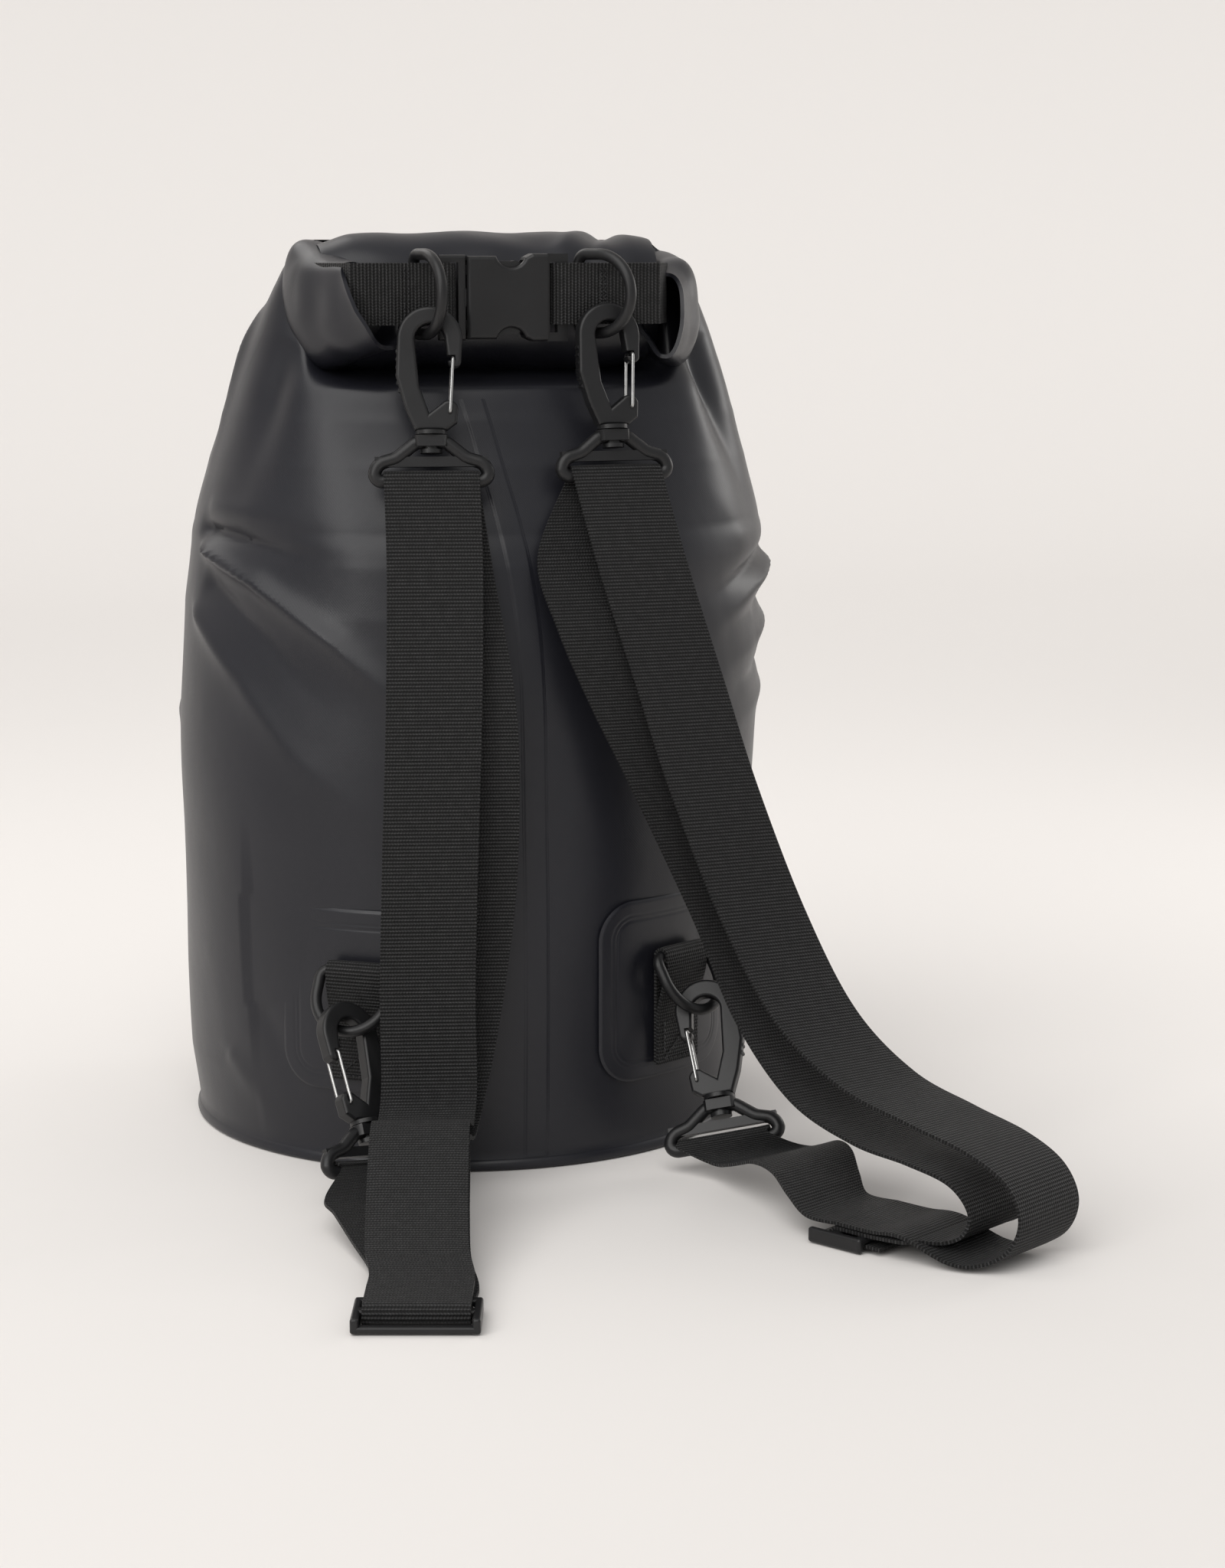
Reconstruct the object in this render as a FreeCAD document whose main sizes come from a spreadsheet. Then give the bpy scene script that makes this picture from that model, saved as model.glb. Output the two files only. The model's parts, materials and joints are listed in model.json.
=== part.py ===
import FreeCAD, Part
import math
import os
import Sketcher
from FreeCAD import Placement, Rotation, Vector

# Roll-top dry bag for rope with two detachable shoulder straps, in millimetres.
# The origin is the centre of the base on the ground, +Z is up, and the side
# with the straps and the seam faces -Y.

doc = FreeCAD.newDocument("RopeBag")
sheet = doc.addObject("Spreadsheet::Sheet", "Sizes")

sizes = {
    # bag shell
    "baseRadius": 117.0,
    "bellyHalfWidth": 124.5,
    "bellyHalfDepth": 115.0,
    "shellTop": 320.0,
    "mouthHalfWidth": 98.0,
    "mouthHalfDepth": 44.0,
    "mouthShift": 20.0,
    "shellWall": 1.5,
    "discThickness": 1.5,
    "rimHeight": 4.0,
    "rimWall": 1.2,
    "skinGap": 0.1,
    "seamWidth": 11.0,
    "seamThickness": 0.6,
    # rolled mouth
    "rollHalfLength": 78.0,
    "rollHalfHeight": 28.5,
    "rollHalfDepth": 27.0,
    "rollCentreY": 38.0,
    "stiffenerHeight": 22.0,
    "stiffenerThickness": 1.2,
    "earLength": 34.0,
    "earHalfHeight": 24.0,
    "earHalfWidth": 13.0,
    # closure webbing and buckle
    "closureHeight": 354.0,
    "closureWidth": 24.5,
    "closureThickness": 1.3,
    "closureY": 80.0,
    "buckleHeight": 33.0,
    "buckleDepth": 10.0,
    "plugDepth": 4.6,
    "housingStart": -16.0,
    "housingLength": 42.0,
    "housingWall": 2.0,
    "plugLength": 10.5,
    "prongLength": 24.0,
    "prongHeight": 5.5,
    "buckleGap": 0.4,
    # D-rings
    "ringRod": 4.6,
    "ringBow": 15.75,
    "ringArm": 10.0,
    # snap hooks
    "hookThickness": 6.5,
    "hookInner": 6.0,
    "hookLimb": 7.0,
    "hookRound": 1.3,
    "stemRadius": 3.0,
    "stemFit": 0.05,
    "gateWire": 1.3,
    "gateFit": 0.06,
    "frameRod": 5.4,
    # straps and sliders
    "strapWidth": 38.0,
    "strapThickness": 1.3,
    "strapGap": 0.3,
    "sliderThickness": 2.8,
    "sliderRail": 3.0,
    # lower patches
    "patchAngle": 37.0,
    "patchHeight": 76.0,
    "patchThickness": 0.8,
    "patchStandoff": 2.7,
    "patchCorner": 16.0,
    "patchCentreZ": 70.0,
    "patchSpread": 33.0,
    "tabWidth": 25.0,
}

for rowNumber, (name, value) in enumerate(sizes.items(), start=1):
    sheet.set("A%d" % rowNumber, name)
    sheet.set("B%d" % rowNumber, str(value))
    sheet.setAlias("B%d" % rowNumber, name)
doc.recompute()

S = {name: float(sheet.get(name)) for name in sizes}
nodes = []


def named(obj, label):
    """Give a finished sub-part its label and put it on the list of nodes."""
    obj.Label = label
    nodes.append(obj)
    return obj


def shapeNode(label, shape, placement=None):
    """A sub-part whose shape comes from Part's own functions."""
    obj = doc.addObject("Part::Feature", label)
    obj.Shape = shape
    if placement is not None:
        obj.Placement = placement.multiply(shape.Placement)
    return named(obj, label)


def primitive(kind, name, placement=None, **links):
    """A Part primitive with its sizes bound to cells by expressions."""
    obj = doc.addObject("Part::" + kind, name)
    for prop, expression in links.items():
        obj.setExpression(prop, expression)
    if placement is not None:
        obj.Placement = placement
    return obj


def at(x, y, z, axis=Vector(0, 0, 1), angle=0.0):
    return Placement(Vector(x, y, z), Rotation(axis, angle))


def boolean(kind, name, *parts):
    if kind == "Cut":
        obj = doc.addObject("Part::Cut", name)
        obj.Base, obj.Tool = parts
        return obj
    obj = doc.addObject("Part::MultiFuse", name)
    obj.Shapes = list(parts)
    return obj


def sketchOn(body, name, plane, wires):
    """A sketch on one of the body's origin planes, drawn from lines and arcs."""
    sketch = body.newObject("Sketcher::SketchObject", name)
    origin = [f for f in body.Origin.OriginFeatures if f.Role == plane][0]
    sketch.AttachmentSupport = [(origin, "")]
    sketch.MapMode = "FlatFace"
    for wire in wires:
        for piece in wire:
            if len(piece) == 2:
                sketch.addGeometry(Part.LineSegment(*piece), False)
            else:
                sketch.addGeometry(Part.Arc(*piece), False)
    return sketch


def outline(steps):
    """Turn a closed list of points into lines and arcs; 'arc' marks a through point."""
    points, pieces, through = [], [], None
    for step in steps + [steps[0]]:
        if step[0] == "arc":
            through = Vector(step[1], step[2], 0)
            continue
        here = Vector(step[0], step[1], 0)
        if points:
            if through is None:
                pieces.append((points[-1], here))
            else:
                pieces.append((points[-1], through, here))
        points.append(here)
        through = None
    return pieces


def padBody(label, plane, wires, lengthExpression, placement):
    """A body padded both ways from its sketch plane."""
    body = doc.addObject("PartDesign::Body", label)
    sketch = sketchOn(body, label + "Profile", plane, wires)
    pad = body.newObject("PartDesign::Pad", label + "Pad")
    pad.Profile = sketch
    pad.SideType = "Symmetric"
    pad.setExpression("Length", lengthExpression)
    body.Placement = placement
    return body, pad


# ---------------------------------------------------------------- bag shell

def shellStations(inset=0.0):
    """(height, half width, half depth, centre y) from the base up to the mouth."""
    base, wide, deep = S["baseRadius"], S["bellyHalfWidth"], S["bellyHalfDepth"]
    mouthW, mouthD, top = S["mouthHalfWidth"], S["mouthHalfDepth"], S["shellTop"]
    rows = [
        (0.0, base, base, 0.0),
        (0.18, base + 0.3 * (wide - base), base, 0.0),
        (0.45, base + 0.8 * (wide - base), deep + 1.0, 0.0),
        (0.66, wide, deep - 2.0, 0.0),
        (0.80, wide - 0.15 * (wide - mouthW), deep - 0.22 * (deep - mouthD), -2.0),
        (0.90, wide - 0.45 * (wide - mouthW), deep - 0.55 * (deep - mouthD), -8.0),
        (1.00, mouthW, mouthD, -S["mouthShift"]),
    ]
    return [(share * top, a - inset, b - inset, y) for share, a, b, y in rows]


def ellipseWire(height, halfWidth, halfDepth, shift):
    long, short = max(halfWidth, halfDepth), min(halfWidth, halfDepth)
    curve = Part.Ellipse(Vector(0, shift, height), long, short)
    if halfDepth > halfWidth:
        curve.rotate(at(0, shift, height, Vector(0, 0, 1), 90))
    return Part.Wire(curve.toShape())


def shellSolid(inset, lift=0.0):
    wires = [ellipseWire(*row) for row in shellStations(inset)]
    solid = Part.makeLoft(wires, True, False)
    if lift:
        floor = Part.makeBox(600, 600, lift + 1.02, Vector(-300, -300, -1.0))
        solid = solid.cut(floor)
    return solid


def makeShell():
    outer = shellSolid(0.0, S["discThickness"])
    wires = [ellipseWire(*row) for row in shellStations(S["shellWall"])]
    inner = Part.makeLoft(wires, True, False)
    inner = inner.fuse(Part.Face(wires[-1]).extrude(Vector(0, 0, 5)))
    shapeNode("bag_body", outer.cut(inner))


def makeBase():
    disc = primitive("Cylinder", "BaseDisc", Radius="Sizes.baseRadius", Height="Sizes.discThickness")
    named(disc, "base_disc")
    outer = primitive("Cylinder", "RimOuter",
                      Radius="Sizes.baseRadius + Sizes.skinGap + Sizes.rimWall", Height="Sizes.rimHeight")
    inner = primitive("Cone", "RimInner", Radius1="Sizes.baseRadius + Sizes.skinGap",
                      Radius2="Sizes.baseRadius + Sizes.skinGap + 0.3", Height="Sizes.rimHeight")
    named(boolean("Cut", "BaseRim", outer, inner), "base_rim")


def makeSeam():
    """A welded strip down the strap side, following the shell."""
    half = S["seamWidth"] / 2
    path = [(5.0, 3.0), (60.0, 3.5), (140.0, 3.5), (210.0, 3.0), (255.0, -2.0), (290.0, -9.0), (312.0, -14.0)]
    edge = [Vector(x - half, 0, z) for z, x in path] + [Vector(x + half, 0, z) for z, x in reversed(path)]
    strip = Part.Face(Part.makePolygon(edge + edge[:1])).extrude(Vector(0, -200, 0))
    skin = shellSolid(-S["skinGap"] - S["seamThickness"]).cut(shellSolid(-S["skinGap"]))
    shapeNode("seam_tape", skin.common(strip))


def ovalBar(halfDepth, halfHeight, start, end):
    """A straight bar of oval section between two points on a line along X."""
    curve = Part.Ellipse(Vector(0, 0, 0), halfHeight, halfDepth)
    face = Part.Face(Part.Wire(curve.toShape()))
    face.rotate(Vector(0, 0, 0), Vector(0, 1, 0), 90)
    face.translate(start)
    return face.extrude(end - start)


def makeRoll():
    top, mid = S["shellTop"], S["closureHeight"] - 4.0
    half, y = S["rollHalfLength"], -S["rollCentreY"]
    lift = 0.3
    neck = [ellipseWire(top + lift, S["mouthHalfWidth"], S["mouthHalfDepth"], -S["mouthShift"]),
            ellipseWire(mid, half + 8.0, S["rollHalfDepth"] * 0.6, y)]
    solid = Part.makeLoft(neck, True, True)
    roll = ovalBar(S["rollHalfDepth"], S["rollHalfHeight"], Vector(-half, y, mid), Vector(half, y, mid))
    solid = solid.fuse(roll)
    for side in (-1, 1):
        ear = Part.makeLoft([
            ellipseWire(0.0, S["earHalfWidth"], S["rollHalfHeight"] - 2.0, 0.0),
            ellipseWire(S["earLength"], S["earHalfWidth"] - 2.0, S["earHalfHeight"] - 3.0, 0.0)], True, True)
        ear.rotate(Vector(0, 0, 0), Vector(1, 0, 0), 90)
        ear.translate(Vector(side * (half + 2.0), y + 6.0, mid))
        solid = solid.fuse(ear)
    # the roll holds its stiffening strip, so the strip's room is cut out of it
    clear = 0.2
    length = 2 * half - 30.0
    room = Part.makeBox(length + 2 * clear, S["stiffenerThickness"] + 2 * clear, S["stiffenerHeight"] + 2 * clear,
                        Vector(-length / 2 - clear, y - S["stiffenerThickness"] / 2 - clear,
                               mid - S["stiffenerHeight"] / 2 - clear))
    shapeNode("roll_top", solid.cut(room))
    strip = primitive("Box", "RollStiffener", at(-length / 2, y - S["stiffenerThickness"] / 2,
                                                 mid - S["stiffenerHeight"] / 2),
                      Length="2 * Sizes.rollHalfLength - 30", Width="Sizes.stiffenerThickness",
                      Height="Sizes.stiffenerHeight")
    named(strip, "roll_stiffener")


# ------------------------------------------------------------------ ribbons

def ribbon(stations, width, thickness):
    """A strip of webbing lofted through stations of (centre, across, up)."""
    wires = []
    for centre, across, up in stations:
        a, u = Vector(across).normalize(), Vector(up)
        u = (u - a * u.dot(a)).normalize()
        corners = [centre + a * (width / 2 * p) + u * (thickness / 2 * q)
                   for p, q in ((-1, -1), (1, -1), (1, 1), (-1, 1))]
        wires.append(Part.makePolygon(corners + corners[:1]))
    solid = Part.makeLoft(wires, True, True)
    if solid.Volume < 0:
        solid.reverse()
    return solid


def normalsAlong(points, across):
    """The thickness direction at each point, square to the run and to the width."""
    found = []
    for i, point in enumerate(points):
        before, after = points[max(0, i - 1)], points[min(len(points) - 1, i + 1)]
        found.append((after - before).cross(across[i]).normalize())
    return found


def ribbonThrough(points, across, width, thickness):
    ups = normalsAlong(points, across)
    return ribbon(list(zip(points, across, ups)), width, thickness)


# ------------------------------------------------------------------ D-rings

def roundedPath(points, radii, closed):
    """Straight runs joined by tangent arcs of the given radii."""
    count = len(points)
    ends = []
    for i, point in enumerate(points):
        if not closed and i in (0, count - 1):
            ends.append((point, None, point))
            continue
        a = (points[i - 1] - point).normalize()
        b = (points[(i + 1) % count] - point).normalize()
        half = a.getAngle(b) / 2
        back = radii[i] / math.tan(half)
        centre = point + (a + b).normalize() * (radii[i] / math.sin(half))
        middle = centre + (point - centre).normalize() * radii[i]
        ends.append((point + a * back, middle, point + b * back))
    edges = []
    for i, (first, middle, last) in enumerate(ends):
        if middle is not None:
            edges.append(Part.Arc(first, middle, last).toShape())
        if closed or i < count - 1:
            edges.append(Part.LineSegment(last, ends[(i + 1) % count][0]).toShape())
    return Part.Wire(Part.__sortEdges__(edges))


def rodAlong(path, start, heading, radius):
    """A round rod swept along a path from a point where it runs along the heading."""
    section = Part.Wire(Part.Circle(start, heading, radius).toShape())
    return path.makePipeShell([section], True, False)


def ringShape():
    """A D-ring: its bar lies along X through the origin and its bow points to -Z."""
    bow, arm, corner = S["ringBow"], S["ringArm"], 4.0
    across, down = Vector(1, 0, 0), Vector(0, 0, -1)
    mid = corner * (1 - math.sqrt(0.5))
    right, left = across * bow, across * -bow
    edges = [
        Part.LineSegment(left + across * corner, right - across * corner).toShape(),
        Part.Arc(right - across * corner, right - across * mid + down * mid, right + down * corner).toShape(),
        Part.LineSegment(right + down * corner, right + down * arm).toShape(),
        Part.Arc(right + down * arm, down * (arm + bow), left + down * arm).toShape(),
        Part.LineSegment(left + down * arm, left + down * corner).toShape(),
        Part.Arc(left + down * corner, left + across * mid + down * mid, left + across * corner).toShape(),
    ]
    return rodAlong(Part.Wire(edges), left + across * corner, across, S["ringRod"] / 2)


# -------------------------------------------------------------- snap hooks
# Local frame of a hook: origin at the middle of the ring's rod in the crook,
# X across the hook with the gate at +X, Y its thickness, Z up its length.

crookZ = -(S["hookInner"] - S["ringRod"] / 2 - S["strapGap"])
neckZ = -39.5
gatePivot = (7.6, -32.5)
gateTop = (9.0, -10.9)
legY = S["hookThickness"] / 2 + S["gateWire"] / 2 + 0.3
frameTop = neckZ - 1.9
barZ = neckZ - 20.0


def hookBody(label, placement):
    inner, outer = S["hookInner"], S["hookInner"] + S["hookLimb"]
    profile = outline([
        (inner, crookZ), ("arc", 0, crookZ + inner), (-inner, crookZ), (-4.4, -22.0), (-0.6, -32.6),
        (4.4, -28.8), ("arc", 8.0, -27.6), (10.9, -30.6), (10.4, -36.6), (6.4, neckZ), (-6.4, neckZ),
        (-10.2, -30.5), (-13.6, -18.0), (-outer, crookZ), ("arc", 0, crookZ + outer), (outer, crookZ),
        (12.4, -11.6), ("arc", 10.2, -14.6), (7.2, -12.8),
    ])
    body, pad = padBody(label + "_plate", "XZ_Plane", [profile], "Sizes.hookThickness", Placement())
    doc.recompute()
    plate = body.Shape
    long = [i + 1 for i, e in enumerate(plate.Edges)
            if abs(abs(e.BoundBox.YMin) - S["hookThickness"] / 2) < 0.01 and e.BoundBox.YLength < 0.01]
    shape = plate.makeFillet(S["hookRound"], [plate.Edges[i - 1] for i in long])
    depth = S["hookThickness"]
    # the nose is slit for the gate's cross wire, and the lower boss is bored for its ends
    slit = Part.makeBox(gateTop[0] + 1.0 - 3.0, 2 * depth, 2.3, Vector(3.0, -depth, gateTop[1] - 1.15))
    bore = Part.makeCylinder(S["gateWire"] / 2 + S["gateFit"], 3 * depth,
                             Vector(gatePivot[0], -1.5 * depth, gatePivot[1]), Vector(0, 1, 0))
    shape = shape.cut(slit).cut(bore)
    for step in range(6):
        z = -8.0 - 3.1 * step
        x = -outer + 0.3 - 0.06 * step if step < 4 else -13.1 + 0.55 * (step - 3)
        shape = shape.fuse(Part.makeCylinder(0.9, depth - 2.6, Vector(x, -depth / 2 + 1.3, z), Vector(0, 1, 0)))
    collar = Part.makeCylinder(6.2, 1.6, Vector(0, 0, neckZ - 1.5))
    stem = Part.makeCylinder(S["stemRadius"], 8.0, Vector(0, 0, neckZ - 9.0))
    head = Part.makeCylinder(S["stemRadius"] + 1.4, 1.6, Vector(0, 0, neckZ - 9.0))
    shape = shape.fuse([collar, stem, head]).removeSplitter()
    return shapeNode(label, shape, placement)


def gateShape():
    """The sprung wire gate: a U of wire whose ends are pinned in the boss."""
    inset, bend = 2.4, 1.2
    foot, top = Vector(gatePivot[0], -legY, gatePivot[1]), Vector(gateTop[0], -legY, gateTop[1])
    side = Vector(0, 1, 0)
    far = side * (2 * legY)
    points = [foot + side * inset, foot, top, top + far, foot + far, foot + far - side * inset]
    return rodAlong(roundedPath(points, [bend] * len(points), False), points[0], side, S["gateWire"] / 2)


def frameShape():
    """The web frame: an eye for the stem, a drooping rod loop with its web bar, and a plate."""
    rod, top = S["frameRod"] / 2, frameTop
    side = S["strapWidth"] / 2 + 0.8 + rod
    right = [Vector(6.0, 0, top - rod), Vector(14.0, 0, top - 9.0), Vector(side, 0, top - 11.5),
             Vector(side, 0, barZ)]
    left = [Vector(-p.x, 0, p.z) for p in reversed(right)]
    bends = [4.0, 8.0, 5.5, 3.2]
    path = roundedPath(right + left, bends + bends[::-1], True)
    first = path.Edges[0]
    heading = first.tangentAt(first.FirstParameter)
    loop = rodAlong(path, first.valueAt(first.FirstParameter), heading, rod)
    plateTop, plateLow = top - 8.4, top - 12.4
    plate = Part.makeBox(2 * side, 3.0, plateTop - plateLow, Vector(-side, -1.5, plateLow))
    eye = Part.makeCylinder(6.8, 4.4, Vector(0, 0, top - 4.4))
    eye = eye.common(Part.makeBox(20, 9.0, 10, Vector(-10, -4.5, top - 8)))
    shape = loop.fuse(plate).fuse(eye)
    return shape.cut(Part.makeCylinder(S["stemRadius"] + S["stemFit"], 8.4, Vector(0, 0, top - 8.2)))


def turned(origin, yaw, lean, roll):
    """A hook's place: turned about Z, leant about its own X, rolled about its own Y."""
    spin = Rotation(Vector(0, 0, 1), yaw)
    spin = spin.multiply(Rotation(Vector(1, 0, 0), lean))
    spin = spin.multiply(Rotation(Vector(0, 1, 0), roll))
    return Placement(origin, spin)


def upperRing(barX, heading):
    """Bar upright in the closure webbing, bow towards the heading, in degrees from +X."""
    spin = Rotation(Vector(0, 0, 1), heading).multiply(Rotation(Vector(0, 1, 0), -90))
    return Placement(Vector(barX, -S["closureY"], S["closureHeight"]), spin)


def lowerRing(side, tilt):
    """Bar level in the tab, bow down and tilted away from the bag."""
    turn = side * S["patchSpread"]
    a = math.radians(turn)
    spin = Rotation(Vector(0, 0, 1), turn).multiply(Rotation(Vector(1, 0, 0), -tilt))
    return Placement(Vector(ringReach * math.sin(a), -ringReach * math.cos(a), S["patchCentreZ"] + 14.0), spin)


patchFace = S["baseRadius"] + S["patchStandoff"] + S["patchThickness"]
ringReach = patchFace + 0.3 + S["closureThickness"] + 0.4 + S["ringRod"] / 2
bowAngle = math.asin(4.0 / S["ringBow"])
upperCrook = Vector(-S["ringBow"] * math.cos(bowAngle), 0, -S["ringArm"] - 4.0)
lowerCrook = Vector(0, 0, -S["ringArm"] - S["ringBow"])
rings = {
    "upper_left": upperRing(-37.0, -76.0),
    "upper_right": upperRing(31.0, -50.0),
    "lower_left": lowerRing(-1, 32.0),
    "lower_right": lowerRing(1, 32.0),
}
# yaw, lean and roll of each hook, and how far its crook hangs above the ring's rod
stance = {
    "upper_left": (-10.0, -9.0, 0.0, 0.8),
    "upper_right": (5.0, -9.0, 0.0, 1.8),
    "lower_left": (209.0, 28.0, -8.0, 2.2),
    "lower_right": (151.0, 28.0, 14.0, 2.2),
}
crooks = {}
for name, ring in rings.items():
    seat = upperCrook if name.startswith("upper") else lowerCrook
    crooks[name] = ring.multVec(seat) + Vector(0, 0, stance[name][3])
hooks = {name: turned(crooks[name], *stance[name][:3]) for name in crooks}


def makeHardware():
    ring, gate, frame = ringShape(), gateShape(), frameShape()
    for name in hooks:
        shapeNode(name + "_ring", ring, rings[name])
        hookBody(name + "_hook", hooks[name])
        shapeNode(name + "_gate", gate, hooks[name])
        shapeNode(name + "_frame", frame, hooks[name])


# ------------------------------------------------- closure webbing and buckle

def makeBuckle():
    """Side-release buckle: housing at +X, plug with two sprung prongs at -X."""
    y, z, gap = -S["closureY"], S["closureHeight"] - 1.5, S["buckleGap"]
    deep, tall, wall = S["buckleDepth"], S["buckleHeight"], S["housingWall"]
    x0, x1 = S["housingStart"], S["housingStart"] + S["housingLength"]
    half = tall / 2
    outer = outline([
        (x0, -half), (x0 + 12.0, -half), ("arc", x0 + 18.0, -half + 4.5), (x0 + 24.0, -half + 0.5),
        (x0 + 27.0, -half - 1.0), (x1, -half - 1.0), (x1, half + 1.0), (x0 + 27.0, half + 1.0),
        (x0 + 24.0, half - 0.5), ("arc", x0 + 18.0, half - 4.5), (x0 + 12.0, half), (x0, half)])
    wire = Part.Wire([(Part.Arc(*p) if len(p) == 3 else Part.LineSegment(*p)).toShape() for p in outer])
    block = Part.Face(wire).extrude(Vector(0, 0, deep))
    block.translate(Vector(0, 0, -deep / 2))
    rim = [e for e in block.Edges if e.BoundBox.ZLength < 0.01]
    block = block.makeFillet(1.6, rim)
    cavityLength = S["prongLength"] + 2 * gap + 1.0
    cavity = Part.makeBox(cavityLength, tall - 2 * 1.6, deep - 2 * wall,
                          Vector(x0 - 0.5, -half + 1.6, -deep / 2 + wall))
    windows = []
    for side in (-1, 1):
        hole = Part.makeBox(11.0, 6.0, deep - 2 * wall, Vector(x0 + 12.5, side * half - 3.0, -deep / 2 + wall))
        windows.append(hole)
    thin = (deep - S["plugDepth"]) / 2
    bars = [Part.makeBox(3.2, tall - 5.0, 2 * deep, Vector(x1 - 7.6, -half + 2.5, -deep))]
    for low in (-deep / 2, deep / 2 - thin):
        bars.append(Part.makeBox(10.0, 2 * tall, thin, Vector(x1 - 9.0, -tall, low)))
    block = block.cut(cavity)
    for tool in windows + bars:
        block = block.cut(tool)
    upright = Rotation(Vector(1, 0, 0), 90)
    shapeNode("buckle_housing", block, Placement(Vector(0, y, z), upright))

    # plug: a ladder end, a tongue stop and the two prongs
    p0, p1 = x0 - gap - S["plugLength"], x0 - gap
    flat = S["plugDepth"]
    plate = Part.makeBox(S["plugLength"], tall + 1.0, flat, Vector(p0, -half - 0.5, -flat / 2))
    edges = [e for e in plate.Edges if e.BoundBox.XLength > 5]
    plate = plate.makeFillet(1.4, edges)
    plate = plate.cut(Part.makeBox(3.2, tall - 5.0, 2 * deep, Vector(p0 + 4.4, -half + 2.5, -deep)))
    tongue = Part.makeBox(S["prongLength"] - 4.0, 7.0, deep - 2 * wall - 2 * gap,
                          Vector(p1 - 0.5, -3.5, -deep / 2 + wall + gap))
    shapeNode("buckle_plug", plate.fuse(tongue), Placement(Vector(0, y, z), upright))
    for label, side in (("lower_prong", -1), ("upper_prong", 1)):
        edge = half - 1.6 - gap
        low = edge - S["prongHeight"]
        bottom = -deep / 2 + wall + gap
        slab = outline([(p1 + 0.3, low), (p1 + S["prongLength"] - 5.0, low + 1.0),
                        ("arc", p1 + S["prongLength"] - 1.2, edge - 3.0), (p1 + S["prongLength"] - 4.5, edge),
                        (p1 + 12.0, edge), (p1 + 10.0, edge - 1.6), (p1 + 0.3, edge - 1.6)])
        wire = Part.Wire([(Part.Arc(*q) if len(q) == 3 else Part.LineSegment(*q)).toShape() for q in slab])
        solid = Part.Face(wire).extrude(Vector(0, 0, deep - 2 * wall - 2 * gap))
        solid.translate(Vector(0, 0, bottom))
        if side < 0:
            solid = solid.mirror(Vector(0, 0, 0), Vector(0, 1, 0))
        shapeNode(label, solid, Placement(Vector(0, y, z), upright))


def makeClosure():
    """The webbing each side: from the roll's ear, round the buckle's bar and back past the ring."""
    y, z = -S["closureY"], S["closureHeight"]
    thick, width = S["closureThickness"], S["closureWidth"]
    wrap = S["ringRod"] / 2 + 0.4 + thick / 2 + 0.9
    earTip = S["rollCentreY"] - 6.0 + S["earLength"]
    housingEnd = S["housingStart"] + S["housingLength"]
    plugEnd = S["housingStart"] - S["buckleGap"] - S["plugLength"]
    up = Vector(0, 0, 1)
    for label, side, barX in (("left_closure_webbing", -1, plugEnd + 2.1), ("right_closure_webbing", 1, housingEnd - 2.1)):
        edge = side * (S["rollHalfLength"] + 1.0)
        path = [(edge, -earTip - 0.9), (edge - side * 3.0, -earTip - 7.0), (edge - side * 10.0, y - 1.2),
                (edge - side * 18.0, y - wrap), (barX + side * 8.0, y - wrap)]
        for i in range(7):
            angle = math.radians(-90 + 30 * i)
            path.append((barX - side * wrap * math.cos(angle), y + wrap * math.sin(angle)))
        path += [(barX + side * 14.0, y + wrap), (edge - side * 22.0, y + 0.6)]
        points = [Vector(px, py, z) for px, py in path]
        shapeNode(label, ribbonThrough(points, [up] * len(points), width, thick))


# ----------------------------------------------------------------- sliders

sliderHalf = S["strapWidth"] / 2 + 0.8
tailZ = 0.1 + S["strapThickness"] / 2
returnZ = tailZ + S["strapThickness"] + 0.25
barLow = returnZ + S["strapThickness"] / 2 + S["strapGap"]
barHigh = barLow + S["sliderThickness"]
lowerLayerZ = barHigh + S["strapGap"] + S["strapThickness"] / 2
upperLayerZ = lowerLayerZ + S["strapThickness"] + 0.25


def sliderShape():
    """A tri-glide lying flat: X across the webbing, -Y the fold side, centre bar at the origin."""
    rail = Part.makeBox(S["sliderRail"], 25.0, barHigh - 0.3, Vector(sliderHalf, -11.5, 0.3))
    rail = rail.makeFillet(1.1, rail.Edges)
    left = rail.mirror(Vector(0, 0, 0), Vector(1, 0, 0))
    shape = rail.fuse(left)
    span = 2 * sliderHalf + 2.4
    for y, deep, low in ((-11.5, 4.0, 0.6), (-2.2, 4.4, barLow), (9.5, 4.0, barLow)):
        bar = Part.makeBox(span, deep, S["sliderThickness"] if low > 1 else 2.4, Vector(-span / 2, y, low))
        bar = bar.makeFillet(1.0, [e for e in bar.Edges if e.BoundBox.XLength > 10])
        shape = shape.fuse(bar)
    return shape


sliderPlaces = {
    "left": Placement(Vector(-83.5, -296.0, 0), Rotation(Vector(0, 0, 1), -15.0)),
    "right": Placement(Vector(104.0, -238.0, 0), Rotation(Vector(0, 0, 1), 213.0)),
}


def foldStations(place):
    """Both layers' stations round the slider's centre bar, in the slider's frame."""
    mid = (barLow + barHigh) / 2
    inner, outer = [], []
    innerR = (barHigh - barLow) / 2 + S["strapGap"] + S["strapThickness"] / 2
    outerR = innerR + S["strapThickness"] + 0.25
    for i in range(7):
        angle = math.radians(90 + 30 * i)
        c, s = math.cos(angle), math.sin(angle)
        inner.append(place.multVec(Vector(0, -1.2 + innerR * c, mid + innerR * s)))
        outer.append(place.multVec(Vector(0, -1.2 + outerR * c, mid + outerR * s)))
    return inner, outer


def across(place):
    return place.Rotation.multVec(Vector(1, 0, 0))


def runIn(place, reach, height):
    return place.multVec(Vector(0, reach, height))


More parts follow.
